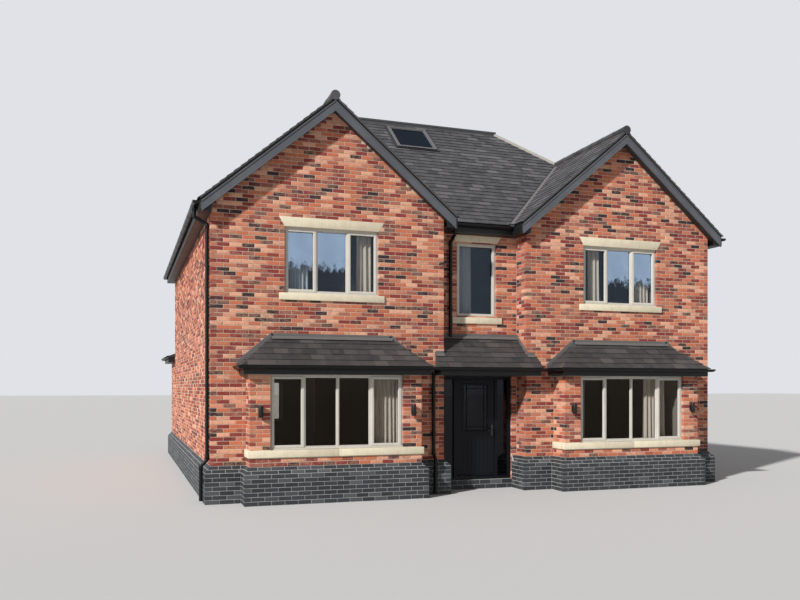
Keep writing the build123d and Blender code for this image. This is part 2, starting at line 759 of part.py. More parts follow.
def knuckle(z0, plate_side):
    """Half of a butt hinge: a barrel, and a plate on the face beside it."""
    barrel = Pos(hinge_x, hinge_y, z0) * Cylinder(hinge_radius, hinge_length,
                                                  align=(Align.CENTER, Align.CENTER, Align.MIN))
    edge = leaf_left if plate_side < 0 else leaf_left + door_gap
    x0, x1 = sorted((hinge_x, edge + plate_side * hinge_plate_width))
    return barrel + block(x0, x1, screen_back, screen_back + hinge_plate, z0, z0 + hinge_length)


for height in hinge_heights:
    screen += knuckle(height, -1)
nodes["door_screen"] = screen

sidelights = [block(x0, x1, screen_front + mullion_depth, screen_front + mullion_depth + glass,
                    screen_foot, screen_head) for x0, x1 in (light_spaces[0], light_spaces[2])]
nodes["front_window_glass"] = joined([window["glass"] for window in front_uppers]
                                     + [left_bay_glass, mirrored(left_bay_glass), roof_pane]
                                     + sidelights)

# Front door leaf, which opens inwards on its left edge
door_x0 = leaf_left + door_gap
door_x1 = leaf_right - door_gap
door_y0 = screen_back - door_thickness
door_z0 = screen_foot + door_gap
door_z1 = screen_head - door_gap
leaf = block(door_x0, door_x1, door_y0, screen_back, door_z0, door_z1)
light_x = (middle - door_light_width / 2, middle + door_light_width / 2)
leaf -= block(*light_x, door_y0, screen_back, door_light_bottom, door_light_top)
groove_pitch = door_light_width / (door_grooves - 1)
for number in range(door_grooves):
    groove_x = light_x[0] + number * groove_pitch
    leaf -= block(groove_x - groove_width / 2, groove_x + groove_width / 2, door_y0,
                  door_y0 + groove_depth, door_z0 + groove_margin, door_light_bottom - groove_margin)
for height in hinge_heights:
    leaf += knuckle(height + hinge_length + hinge_clearance, 1)
nodes["front_door"] = leaf
pane_y = door_y0 + (door_thickness - glass) / 2
nodes["door_glass"] = block(*light_x, pane_y, pane_y + glass, door_light_bottom, door_light_top)

handle_x = door_x1 - handle_backset


def lever(face, sign):
    """A lever handle on a tall plate, on one face of the door."""
    y0, y1 = sorted((face, face + sign * handle_plate))
    plate = block(handle_x - handle_plate_width / 2, handle_x + handle_plate_width / 2, y0, y1,
                  handle_height - handle_plate_height / 2, handle_height + handle_plate_height / 2)
    bar_y = face + sign * handle_reach
    spindle = Pos(handle_x, (face + bar_y) / 2, handle_height) * Rot(90, 0, 0) * Cylinder(
        spindle_radius, handle_reach)
    bar = Pos(handle_x + handle_radius - handle_length / 2, bar_y, handle_height) * Rot(
        0, 90, 0) * Cylinder(handle_radius, handle_length)
    return plate + spindle + bar


nodes["door_handles"] = joined([lever(door_y0, -1), lever(screen_back, 1)])

# Wall lamps on the bay piers
pier_centre = (bay_right + bay_window_x[1]) / 2
lamp_face = -bay_projection


def wall_lamp(x):
    """A cylinder that lights up and down the wall, on a small arm."""
    centre_y = lamp_face - lamp_standoff - lamp_radius
    body = Pos(x, centre_y, lamp_centre) * Cylinder(lamp_radius, lamp_height)
    arm = block(x - lamp_radius / 2, x + lamp_radius / 2, centre_y, lamp_face,
                lamp_centre - lamp_radius, lamp_centre + lamp_radius)
    return body + arm


left_lamps = [wall_lamp(pier_centre), wall_lamp(2 * wing_middle - pier_centre)]
nodes["wall_lamps"] = joined(left_lamps + [mirrored(lamp) for lamp in left_lamps])

# Origin to the middle of the whole footprint, on the ground
boxes = [shape.bounding_box() for shape in nodes.values()]
low_x = min(box.min.X for box in boxes)
high_x = max(box.max.X for box in boxes)
low_y = min(box.min.Y for box in boxes)
high_y = max(box.max.Y for box in boxes)
to_origin = Pos(-(low_x + high_x) / 2, -(low_y + high_y) / 2, 0)

os.makedirs("parts", exist_ok=True)
for name, shape in nodes.items():
    export_step(to_origin * shape, f"parts/{name}.step")
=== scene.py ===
import json
import math
import random
import bpy
import numpy as np
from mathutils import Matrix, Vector

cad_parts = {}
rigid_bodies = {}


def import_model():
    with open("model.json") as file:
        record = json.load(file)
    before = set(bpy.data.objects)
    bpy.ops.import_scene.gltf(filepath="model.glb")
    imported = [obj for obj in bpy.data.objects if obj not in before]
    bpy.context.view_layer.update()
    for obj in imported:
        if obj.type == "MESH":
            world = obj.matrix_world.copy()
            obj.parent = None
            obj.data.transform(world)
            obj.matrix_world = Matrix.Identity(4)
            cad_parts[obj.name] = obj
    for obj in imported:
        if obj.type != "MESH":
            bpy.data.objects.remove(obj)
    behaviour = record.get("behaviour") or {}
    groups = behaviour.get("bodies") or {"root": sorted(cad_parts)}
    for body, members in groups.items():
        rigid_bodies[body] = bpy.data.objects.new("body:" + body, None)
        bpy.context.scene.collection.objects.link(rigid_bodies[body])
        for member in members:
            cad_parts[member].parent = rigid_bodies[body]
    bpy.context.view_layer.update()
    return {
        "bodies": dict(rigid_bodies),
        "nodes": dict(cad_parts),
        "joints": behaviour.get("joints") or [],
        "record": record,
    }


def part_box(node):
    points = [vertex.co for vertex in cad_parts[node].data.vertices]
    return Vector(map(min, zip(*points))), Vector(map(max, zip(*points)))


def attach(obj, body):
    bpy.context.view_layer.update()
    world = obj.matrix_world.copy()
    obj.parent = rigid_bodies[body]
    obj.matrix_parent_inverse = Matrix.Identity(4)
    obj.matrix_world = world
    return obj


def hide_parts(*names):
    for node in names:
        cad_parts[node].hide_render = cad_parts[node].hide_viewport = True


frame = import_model()
nodes = frame["nodes"]
bpy.ops.object.select_all(action="DESELECT")

# Facing brickwork
# Red multi bricks laid in stretcher bond with pale mortar, as the outer leaf of a cavity wall. Every
# brick stands a little proud of its joints and runs back into the wall at a corner or a window.
brick_length = 0.215
brick_height = 0.065
joint = 0.010
gauge = brick_height + joint
brick_proud = 0.006
brick_wander = 0.002
brick_depth = 0.066
brick_arris = 0.004
corner_ease = 0.0015
reveal_lap = 0.003
least_cut = 0.045
upper_storey = 3.0
deep_red = (0.235, 0.034, 0.025, 1)
orange_red = (0.55, 0.155, 0.074, 1)
salmon = (0.74, 0.370, 0.235, 1)
burnt = (0.030, 0.016, 0.018, 1)
mortar_colour = (0.70, 0.56, 0.44, 1)
plaster_colour = (0.36, 0.345, 0.32, 1)
room_middle = {"left_bay_wall": (-3.17, -5.0, 1.6), "right_bay_wall": (3.17, -5.0, 1.6),
               "extension_walls": (-3.17, 4.0, 1.6)}
house_middle = (0, -1.0, 3.0)
upright = Vector((0, 0, 1))
sides = ((-1, "left"), (1, "right"))


class Pattern:
    """A value that varies over a surface. Sums on it add the nodes of a material."""

    def __init__(self, socket):
        self.socket = socket

    def node(self, kind, inputs, output=0, stops=(), **settings):
        """Another node of the same material, with its settings and what its sockets take."""
        tree = self.socket.id_data
        made = tree.nodes.new("ShaderNode" + kind)
        for name, value in settings.items():
            setattr(made, name, value)
        while stops and len(made.color_ramp.elements) < len(stops):
            made.color_ramp.elements.new(1)
        for element, (place, colour) in zip(made.color_ramp.elements if stops else (), stops):
            element.position = place
            element.color = colour
        for name, value in inputs.items():
            if isinstance(value, Pattern):
                tree.links.new(value.socket, made.inputs[name])
            else:
                made.inputs[name].default_value = value
        return Pattern(made.outputs[output])

    def maths(self, operation, *values):
        return self.node("Math", dict(enumerate(values)), operation=operation)

    def __add__(self, other):
        return self.maths("ADD", self, other)

    def __sub__(self, other):
        return self.maths("SUBTRACT", self, other)

    def __rsub__(self, other):
        return self.maths("SUBTRACT", other, self)

    def __mul__(self, other):
        return self.maths("MULTIPLY", self, other)

    def __truediv__(self, other):
        return self.maths("DIVIDE", self, other)

    def __gt__(self, other):
        return self.maths("GREATER_THAN", self, other)

    def fraction(self):
        return self.maths("FRACT", self)

    def between(self, low, high):
        """0 below low, 1 above high, and a smooth rise between them."""
        return self.node("MapRange", {"Value": self, "From Min": low, "From Max": high},
                         interpolation_type="SMOOTHSTEP")

    def ramp(self, *stops):
        return self.node("ValToRGB", {"Fac": self}, stops=stops)

    def mix(self, first, second):
        """The first colour where this value is 0 and the second where it is 1."""
        return self.node("Mix", {0: self, 6: first, 7: second}, output=2, data_type="RGBA")

    def stretched(self, x, y, z):
        return self.node("Mapping", {"Vector": self, "Scale": (x, y, z)})

    def noise(self, scale, detail=3.0, roughness=0.55):
        inputs = {"Vector": self, "Scale": scale, "Detail": detail, "Roughness": roughness}
        return self.node("TexNoise", inputs, output="Fac")

    def part(self, axis):
        return self.node("SeparateXYZ", {"Vector": self}, output=axis)

    def tone(self):
        """The shade that each small unit of a piece carries."""
        return self.node("Attribute", {}, output="Fac", attribute_name="tone")

    def dented(self, height):
        """A normal that follows a height in metres."""
        return self.node("Bump", {"Height": height, "Distance": 1.0, "Strength": 1.0}, output="Normal")


def new_finish(name):
    """An empty material, and the place on the object that its patterns start from."""
    material = bpy.data.materials.new(name)
    material.use_nodes = True
    return material, Pattern(material.node_tree.nodes.new("ShaderNodeTexCoord").outputs["Object"])


def coat(material, **sockets):
    """Gives the shader its colour, roughness and other values or patterns."""
    shader = material.node_tree.nodes["Principled BSDF"]
    for name, value in sockets.items():
        socket = shader.inputs[name.replace("_", " ").title().replace("Ior", "IOR")]
        if isinstance(value, Pattern):
            material.node_tree.links.new(value.socket, socket)
        else:
            socket.default_value = value
    return material


def toned(colour, share, more=0.0):
    """A darker or lighter shade of a colour."""
    return [value * share + more for value in colour[:3]] + [1]


def brick_finish():
    """Fired clay with creases and sand, each brick in its own shade."""
    material, place = new_finish("red_brick")
    tone = place.tone()
    shade = tone.ramp((0.0, burnt), (0.10, burnt), (0.15, deep_red), (0.44, deep_red),
                      (0.54, orange_red), (0.78, orange_red), (0.88, salmon), (1.0, salmon))
    blotch = place.stretched(1, 1, 2.2).noise(14, 4, 0.6)
    crease = place.stretched(1, 1, 2.5).noise(60, 4, 0.7)
    second = (tone * 71.3).fraction()
    pale = (blotch + second * 0.30).between(0.55, 0.95) * 0.55
    dark = (crease * 0.6 + blotch * 0.4 + second * 0.10).between(0.50, 0.74) * 0.7
    height = blotch * 0.0016 + crease * 0.0014 + place.noise(700, 2) * 0.0003
    return coat(material, base_color=dark.mix(pale.mix(shade, salmon), burnt), roughness=0.92,
                normal=place.dented(height))


def mortar_finish(name, inside, colour=mortar_colour):
    """Mortar on the outer faces of a wall and plaster on the faces towards the rooms."""
    material, place = new_finish(name)
    grain = place.noise(160, 3)
    patch = place.noise(2.5, 3)
    normal = Pattern(material.node_tree.nodes.new("ShaderNodeNewGeometry").outputs["Normal"])
    inward = place.node("VectorMath", {0: inside, 1: place}, operation="SUBTRACT")
    facing = place.node("VectorMath", {0: normal, 1: inward}, output="Value", operation="DOT_PRODUCT")
    sand = grain.mix(colour, toned(colour, 0.72))
    stained = (patch.between(0.4, 0.7) * 0.35).mix(sand, toned(colour, 0.8))
    return coat(material, base_color=(facing > 0.0).mix(stained, plaster_colour), roughness=0.95,
                normal=place.dented(grain * 0.0010))


def set_finish(material, *names):
    """Gives nodes of the model a finish."""
    for name in names:
        nodes[name].data.materials.clear()
        nodes[name].data.materials.append(material)


def deselect():
    """Leaves edit mode and every object unselected."""
    if bpy.context.mode != "OBJECT":
        bpy.ops.object.mode_set(mode="OBJECT")
    bpy.ops.object.select_all(action="DESELECT")


def box_piece(name, low, high):
    """A block between two corners, as the start of a piece."""
    deselect()
    centre = (Vector(low) + Vector(high)) / 2
    bpy.ops.mesh.primitive_cube_add(size=1, location=centre)
    piece = bpy.context.object
    piece.name = name
    bpy.ops.transform.resize(value=Vector(high) - Vector(low), center_override=centre)
    bpy.ops.object.transform_apply(location=True, rotation=True, scale=True)
    return piece


def everything(middle, direction):
    return True


def edit(piece, faces=None, edges=None):
    """Edit mode with only the faces or edges that a test of middle and direction picks."""
    deselect()
    piece.select_set(True)
    bpy.context.view_layer.objects.active = piece
    bpy.ops.object.mode_set(mode="EDIT")
    bpy.ops.mesh.select_mode(type="FACE" if faces else "EDGE")
    bpy.ops.mesh.select_all(action="DESELECT")
    bpy.ops.object.mode_set(mode="OBJECT")
    mesh = piece.data
    for face in mesh.polygons if faces else ():
        face.select = bool(faces(face.center, face.normal))
    for edge in mesh.edges if edges else ():
        start, end = (mesh.vertices[number].co for number in edge.vertices)
        edge.select = bool(edges((start + end) / 2, end - start))
    bpy.ops.object.mode_set(mode="EDIT")


def ease(piece, edges, width, segments=1):
    """Bevels the edges that a test picks."""
    edit(piece, edges=edges)
    bpy.ops.mesh.bevel(offset=width, segments=segments)
    bpy.ops.object.mode_set(mode="OBJECT")
    return piece


def done(piece, material, stands_for=(), body="house"):
    """Ends work on a piece: its finish, its body and the nodes that it stands for."""
    deselect()
    piece.data.materials.clear()
    piece.data.materials.append(material)
    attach(piece, body)
    if stands_for:
        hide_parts(*stands_for)
    return piece


def copies(name, unit, axes, places):
    """Joins copies of a modelled unit. A place is a centre, a length added at the ends and a tone."""
    points = np.array([vertex.co for vertex in unit.data.vertices])
    faces = [list(face.vertices) for face in unit.data.polygons]
    ends = np.sign(points[:, 0]) * (np.abs(points[:, 0]) > 1e-6)
    turned = np.array([list(axis) for axis in axes])
    corners = []
    for centre, extra, tone in places:
        shaped = points.copy()
        shaped[:, 0] += ends * extra / 2
        corners.append(shaped @ turned + np.array(centre))
    mesh = bpy.data.meshes.new(name)
    mesh.from_pydata(np.concatenate(corners).tolist(), [],
                     [[corner + len(points) * copy for corner in face]
                      for copy in range(len(places)) for face in faces])
    tones = mesh.attributes.new("tone", "FLOAT", "FACE")
    tones.data.foreach_set("value", np.repeat([tone for _, _, tone in places], len(faces)))
    piece = bpy.data.objects.new(name, mesh)
    bpy.context.scene.collection.objects.link(piece)
    return piece


def chance(*numbers):
    """The same random number from 0 to 1 for the same place."""
    return random.Random(repr([round(number, 3) for number in numbers])).random()


def brick_unit(length, height):
    """One brick with eased outer arrises, centred, with its outer face towards -Y."""
    unit = box_piece("brick_unit", (-length / 2, 0, -height / 2), (length / 2, brick_depth, height / 2))
    return ease(unit, lambda middle, run: middle.y < 1e-6, brick_arris)


def bond_spans(length, low, high, openings):
    """The stretches of one course that are brick, with what they meet at each end."""
    spans = [(0, length, "corner", "corner")]
    for start, end, bottom, top, kind in openings:
        if not bottom < (low + high) / 2 < top:
            continue
        cut = []
        for a, b, left, right in spans:
            if end <= a or start >= b:
                cut.append((a, b, left, right))
                continue
            if a < start:
                cut.append((a, start, left, kind))
            if end < b:
                cut.append((end, b, kind, right))
        spans = cut
    return spans


def brick_face(name, unit, corner, along, out, length, bed, courses, step, openings=(), half=False,
               ends=("corner", "corner"), top=None):
    """One face of a wall in stretcher bond. Openings are (start, end, bottom, top, kind) along it."""
    size = max(abs(vertex.co.x) for vertex in unit.data.vertices) * 2
    module = (length + joint) / (round(2 * (length + joint) / (size + joint)) / 2)
    along, out, origin = (Vector((*pair, 0)) for pair in (along, out, corner))
    reach = {"corner": brick_proud - corner_ease, "reveal": reveal_lap, "abut": -joint, "flush": 0}
    places = []
    for course in range(courses):
        low = bed + course * step
        shift = 0 if (course % 2 == 0) != half else module / 2
        perpends = [shift + number * module - joint / 2 for number in range(int(length / module) + 2)]
        for start, end, left, right in bond_spans(length, low, low + step, openings):
            left = ends[0] if start == 0 else left
            right = ends[1] if end == length else right
            inner = [place for place in perpends if start + least_cut < place < end - least_cut]
            edges = [start - joint / 2 - reach[left]] + inner + [end + joint / 2 + reach[right]]
            for a, b in zip(edges, edges[1:]):
                middle = mark = (a + b) / 2
                if top and low > top(middle):
                    continue
                # A corner brick shows on two faces and takes its shade from the corner.
                if a == edges[0] and left == "corner":
                    mark = start
                if b == edges[-1] and right == "corner":
                    mark = end
                key = [*(origin + along * mark)[:2], low]
                proud = brick_proud + (chance(low, *key) - 0.5) * brick_wander
                centre = origin + along * middle + out * proud
                centre.z = low + step / 2
                places.append((centre, b - a - joint - size, chance(*key)))
    return copies(name, unit, (along, -out, upright), places)


def solids(node):
    """The lowest and highest corner of each separate solid of a node."""
    mesh = nodes[node].data
    groups = []
    for face in mesh.polygons:
        corners = {tuple(round(value, 4) for value in mesh.vertices[number].co)
                   for number in face.vertices}
        touching = [group for group in groups if group & corners]
        groups = [group for group in groups if not group & corners] + [corners.union(*touching)]
    boxes = [(Vector(map(min, zip(*group))), Vector(map(max, zip(*group)))) for group in groups]
    return sorted(boxes, key=lambda box: (round(box[0].x, 2), round(box[0].z, 2)))


half_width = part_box("right_side_wall")[1].x
wing_low, wing_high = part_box("left_gable_wall")
wing_face = wing_low.y
wing_width = wing_high.x + half_width
plinth_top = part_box("left_side_wall")[0].z
house_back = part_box("left_side_wall")[1].y
recess_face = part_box("recess_wall")[0].y
extension_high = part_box("extension_walls")[1]
bay_low, bay_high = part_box("left_bay_wall")
bay_from = bay_low.x + half_width
bay_to = bay_high.x + half_width
bay_width = bay_to - bay_from
low_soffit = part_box("bay_eaves")[0].z
sill_low, sill_high = (corner.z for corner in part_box("bay_sills"))
main_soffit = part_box("eaves_boards")[0].z
threshold_low, threshold_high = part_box("door_threshold")
roof_pitch = math.radians(40)
roof_rise = math.tan(roof_pitch)
slab = 0.2
board = 0.02
eave = main_soffit + board + slab
overhang = -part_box("left_roof_slope")[0].x - half_width
upper_frames = solids("upper_window_frames")
rear_frames = solids("rear_window_frames")
bay_frames = solids("bay_window_frames")
red_unit = brick_unit(brick_length, brick_height)
brick = brick_finish()


def gable_top(u):
    """The underside of the roof over a point of a gable front."""
    return eave - slab + (overhang + min(u, wing_width - u)) * roof_rise


def courses_to(height, bed=plinth_top):
    """How many whole courses fit below a height."""
    return int((height - bed) / gauge)


def seen_from(frames, corner_x, direction):
    """Window openings as stretches along a wall that starts at a corner."""
    found = []
    for low, high in frames:
        start, end = sorted(((low.x - corner_x) * direction, (high.x - corner_x) * direction))
        found.append((start, end, low.z, high.z, "reveal"))
    return found


def red_wall(name, corner, along, out, length, courses, openings=(), bed=plinth_top, **bond):
    """Red bricks over one face of a wall."""
    done(brick_face(name, red_unit, corner, along, out, length, bed, courses, gauge, openings, **bond),
         brick)


wall_courses = courses_to(main_soffit) + 2
bay_courses = courses_to(low_soffit) + 1
bay_gap = (bay_from, bay_to, 0, bay_high.z, "abut")
sill_band = (-1, 9, sill_low, sill_high, "reveal")
to_wall = ("corner", "abut")
for side, hand in sides:
    inward = -side
    corner_x = side * half_width
    upper = [box for box in upper_frames if box[0].x * side > 1]
    red_wall(f"{hand}_front_bricks", (corner_x, wing_face), (inward, 0), (0, -1), wing_width,
             courses_to(wing_high.z), seen_from(upper, corner_x, inward) + [bay_gap], top=gable_top)
    red_wall(f"{hand}_side_bricks", (corner_x, wing_face), (0, 1), (side, 0), house_back - wing_face,
             wall_courses, half=True)
    red_wall(f"{hand}_return_bricks", (corner_x + inward * wing_width, wing_face), (0, 1), (inward, 0),
             recess_face - wing_face, wall_courses, half=True, ends=to_wall)
    bay_corner = corner_x + inward * bay_from
    lights = [box for box in bay_frames if box[0].x * side > 0]
    red_wall(f"{hand}_bay_bricks", (bay_corner, bay_low.y), (inward, 0), (0, -1), bay_width,
             bay_courses, seen_from(lights, bay_corner, inward) + [sill_band])
    for far in (0, 1):
        red_wall(f"{hand}_bay_side_bricks_{far + 1}", (bay_corner + far * inward * bay_width, bay_low.y),
                 (0, 1), (inward if far else side, 0), wing_face - bay_low.y, bay_courses, [sill_band],
                 half=not far, ends=to_wall)

recess_from = -half_width + wing_width
recess_window = [box for box in upper_frames if abs(box[0].x + box[1].x) < 0.1]
pier_edge = solids("doorway_piers")[0][1].x
door_gap = (pier_edge - recess_from, -pier_edge - recess_from, 0, low_soffit, "reveal")
recess_openings = seen_from(recess_window, recess_from, 1) + [door_gap]
red_wall("recess_bricks", (recess_from, recess_face), (1, 0), (0, -1), -2 * recess_from,
         courses_to(main_soffit, threshold_high.z) + 2, recess_openings, threshold_high.z,
         ends=("abut", "abut"))

extension_courses = courses_to(extension_high.z) + 1
extension_right, extension_back = extension_high.x, extension_high.y
extension_gap = (half_width - extension_right, 2 * half_width, 0, extension_high.z, "abut")
rear_seen = [box for box in rear_frames if box[0].z > upper_storey or box[0].x > 0]
extension_seen = [box for box in rear_frames if box[0].z < upper_storey and box[0].x < 0]
red_wall("rear_bricks", (half_width, house_back), (-1, 0), (0, 1), 2 * half_width, wall_courses,
         seen_from(rear_seen, half_width, -1) + [extension_gap])
red_wall("extension_rear_bricks", (extension_right, extension_back), (-1, 0), (0, 1), wing_width,
         extension_courses, seen_from(extension_seen, extension_right, -1))
for name, x, outward in (("left", -half_width, -1), ("right", extension_right, 1)):
    red_wall(f"extension_{name}_bricks", (x, extension_back), (0, -1), (outward, 0),
             extension_back - house_back, extension_courses, half=True, ends=to_wall)
for node in ("left_gable_wall", "right_gable_wall", "wing_front_piers", "wing_return_walls",
             "recess_wall", "doorway_piers", "left_bay_wall", "right_bay_wall", "left_side_wall",
             "right_side_wall", "rear_ground_wall", "rear_upper_wall", "extension_walls"):
    set_finish(mortar_finish(f"mortar_{node}", room_middle.get(node, house_middle)), node)

# Plinth
# Blue-grey engineering bricks, larger than the facing bricks and smooth, project below the walls. The
# two top courses are splayed back to the wall face, and special bricks turn them through inner corners.
blue_length = 0.230
plinth_courses = 7
splay_courses = 2
splay_rise = 0.12
corner_margin = 6
corner_steps = 6
corner_clear = 0.001
blue_dark = (0.010, 0.012, 0.015, 1)
blue_mid = (0.026, 0.030, 0.034, 1)
blue_pale = (0.085, 0.090, 0.092, 1)
plinth_mortar = (0.42, 0.42, 0.41, 1)
splay_foot = plinth_top - splay_rise
projection = bay_low.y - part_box("left_front_plinth")[0].y
blue_gauge = splay_foot / plinth_courses
splay_slope = Vector((0, projection, splay_rise))
splay_gauge = splay_slope.length / splay_courses
blue_unit = brick_unit(blue_length, blue_gauge - joint)
splay_unit = brick_unit(blue_length, splay_gauge - joint)


def blue_finish():
    """Dense brick with a slight burnish, in shades of blue grey."""
    material, place = new_finish("blue_brick")
    shade = place.tone().ramp((0.0, blue_dark), (0.45, blue_mid), (0.8, blue_mid), (1.0, blue_pale))
    cloud = place.noise(35, 4, 0.6)
    return coat(material, base_color=(cloud * 0.35).mix(shade, blue_pale),
                roughness=cloud * 0.3 + 0.45, specular_ior_level=0.3,
                normal=place.dented(cloud * 0.0009 + place.noise(600, 2) * 0.0002))


blue_brick = blue_finish()


def trim(piece, cuts):
    """Cuts a piece off at planes, each a point and the direction that goes, and closes it there."""
    edit(piece, faces=everything)
    for point, direction in cuts:
        bpy.ops.mesh.select_all(action="SELECT")
        bpy.ops.mesh.bisect(plane_co=point, plane_no=direction, clear_outer=True)
    bpy.ops.mesh.select_all(action="SELECT")
    bpy.ops.mesh.fill_holes(sides=0)
    bpy.ops.object.mode_set(mode="OBJECT")


def corner_brick(name, corner, along, back, near, far):
    """A special brick that turns the splay through an inner corner, between two distances up it."""
    deselect()
    bpy.ops.mesh.primitive_plane_add(size=1)
    piece = bpy.context.object
    piece.name = name
    start = math.radians(corner_margin)
    way = back if along.cross(back).z < 0 else along
    tilt = math.atan2(splay_rise, projection)
    heading = math.atan2(way.y, way.x) + start
    edit(piece, faces=everything)
    bpy.ops.transform.resize(value=(far - near, brick_depth / 2, 1))
    bpy.ops.transform.translate(value=((near + far) / 2, brick_proud - brick_depth / 4, 0))
    bpy.ops.mesh.bevel(offset=brick_arris, segments=1, affect="VERTICES")
    for angle, axis in ((-math.pi / 2, "X"), (tilt, "Y"), (-heading, "Z")):
        bpy.ops.transform.rotate(value=angle, orient_axis=axis, center_override=(0, 0, 0))
    bpy.ops.mesh.spin(steps=corner_steps, angle=2 * start - math.pi / 2, center=(0, 0, 0), axis=upright)
    bpy.ops.mesh.select_all(action="SELECT")
    bpy.ops.transform.translate(value=corner)
    bpy.ops.mesh.normals_make_consistent(inside=False)
    bpy.ops.object.mode_set(mode="OBJECT")
    done(piece, blue_brick)


def splay_bricks(name, start, end, along, out, last):
    """The sloping courses on top of one run of the plinth, mitred or turned at its ends."""
    up = (splay_rise * upright - projection * out).normalized()
    face = (projection * upright + splay_rise * out).normalized()
    foot = Vector((*start, splay_foot)) + face * brick_proud
    module = blue_length + joint
    count = math.ceil((Vector(end) - Vector(start)).length / module) + 2
    places = [(foot + up * splay_gauge * (course + 0.5) + along * (number + course / 2) * module, 0,
               chance(*start, number, course))
              for course in range(splay_courses) for number in range(-1, count)]
    splay = copies(f"splay_{name}", splay_unit, (along, -face, up), places)
    turn_at = Vector((*end, 0)) - along * (projection if last == "square" else 0)
    for kind, corner, sign in (("convex", Vector((*start, 0)), 1), (last, turn_at, -1)):
        cut = along * sign + (out if kind == "convex" else Vector((0, 0, 0)))
        back = corner_clear if kind == "convex" else joint / 2
        trim(splay, [(corner + cut * back, -cut)])
    done(splay, blue_brick)
    if last == "square" or last == "concave" and abs(out.y) == 1:
        for course in range(splay_courses):
            corner_brick(f"{name}_corner_{course + 1}", turn_at + upright * splay_foot, along, -out,
                         course * splay_gauge + joint / 2, (course + 1) * splay_gauge - joint / 2)


outer_x = half_width + projection
front = wing_face - projection
bay_front = bay_low.y - projection
rear_plinth = house_back + projection
extension_plinth = extension_back + projection
step_x = extension_right + projection
plinth_runs = []
for side, hand in sides:
    near = side * (half_width - bay_from + projection)
    far = side * (half_width - bay_to - projection)
    entry = side * (half_width - wing_width - projection)
    plinth_runs += [
        (f"{hand}_front_outer", (side * outer_x, front), (near, front), (0, -1), "concave"),
        (f"{hand}_bay_outer", (near, bay_front), (near, front), (side, 0), "concave"),
        (f"{hand}_bay_front", (near, bay_front), (far, bay_front), (0, -1), "convex"),
        (f"{hand}_bay_inner", (far, bay_front), (far, front), (-side, 0), "concave"),
        (f"{hand}_front_inner", (entry, front), (far, front), (0, -1), "concave"),
        (f"{hand}_entry", (entry, front), (entry, recess_face), (-side, 0), "square")]
plinth_runs += [
    ("left_side", (-outer_x, front), (-outer_x, extension_plinth), (-1, 0), "convex"),
    ("right_side", (outer_x, front), (outer_x, rear_plinth), (1, 0), "convex"),
    ("extension_rear", (step_x, extension_plinth), (-outer_x, extension_plinth), (0, 1), "convex"),
    ("extension_side", (step_x, extension_plinth), (step_x, rear_plinth), (1, 0), "concave"),
    ("rear", (outer_x, rear_plinth), (step_x, rear_plinth), (0, 1), "concave")]
end_kinds = {"convex": "corner", "concave": "abut", "square": "flush"}
for name, start, end, out, last in plinth_runs:
    run = Vector(end) - Vector(start)
    along = run.normalized()
    wall = brick_face(f"plinth_{name}", blue_unit, start, along, out, run.length, 0, plinth_courses,
                      blue_gauge, half=abs(out[0]) == 1, ends=("corner", end_kinds[last]))
    done(wall, blue_brick)
    splay_bricks(name, start, end, Vector((*along, 0)), Vector((*out, 0)), last)
for node in ("left_front_plinth", "right_front_plinth", "side_plinths", "rear_plinth",
             "door_threshold"):
    set_finish(mortar_finish(f"joints_{node}", house_middle, plinth_mortar), node)
threshold_gauge = threshold_high.z / 2
threshold = brick_face(
    "threshold_bricks", brick_unit(blue_length, threshold_gauge - joint),
    (threshold_low.x, threshold_low.y), (1, 0), (0, -1), threshold_high.x - threshold_low.x, 0, 2,
    threshold_gauge, ends=("abut", "abut"))
done(threshold, blue_brick)

# Roof tiles
# Dark grey concrete tiles hang on battens in half-bond rows, each row's tails lying on the heads of the
# row below. They are cut to the hips, valleys and verges, and the first row hangs over the gutter.
tile_width = 0.26
tile_gauge = 0.165
tile_lap = 0.03
tile_gap = 0.003
tile_thickness = 0.013
tile_lift = 0.016
tile_arris = 0.003
eave_lap = 0.04
valley_gap = 0.045
verge_lap = 0.010
tile_dark = (0.021, 0.020, 0.022, 1)
tile_mid = (0.054, 0.051, 0.054, 1)
tile_pale = (0.140, 0.132, 0.135, 1)
tile_brown_mid = (0.039, 0.035, 0.034, 1)
tile_brown_pale = (0.092, 0.079, 0.072, 1)
gable_y = wing_face - overhang
verge_y = gable_y - board - verge_lap
outer_eave = half_width + overhang
inner_eave = half_width - wing_width - overhang
wing_axis = half_width - wing_width / 2
front_eave = recess_face - overhang
rear_low, rear_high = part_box("rear_roof_slope")
rear_eave = rear_high.y
ridge_y = front_eave + wing_axis - inner_eave
ridge_z = eave + (wing_axis - inner_eave) * roof_rise
crown_x = -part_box("left_roof_slope")[1].x
crown_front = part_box("front_roof_slope")[1].y
crown_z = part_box("front_roof_slope")[1].z
main_height = (crown_front - front_eave) / math.cos(roof_pitch) + tile_gauge


def tile_finish(name, mid, pale):
    """Sanded concrete, weathered paler in patches, each tile in its own shade."""
    material, place = new_finish(name)
    shade = place.tone().ramp((0.0, tile_dark), (0.30, mid), (0.70, mid), (1.0, pale))
    cloud = place.noise(5, 4, 0.6)
    grit = place.noise(240, 3)
    worn = (cloud.between(0.42, 0.75) * 0.55).mix(shade, pale)
    return coat(material, base_color=(grit * 0.45).mix(worn, tile_dark), roughness=cloud * 0.2 + 0.6,
                normal=place.dented(grit * 0.0007 + cloud * 0.001))


main_tile = tile_finish("roof_tile", tile_mid, tile_pale)
low_tile = tile_finish("low_roof_tile", tile_brown_mid, tile_brown_pale)


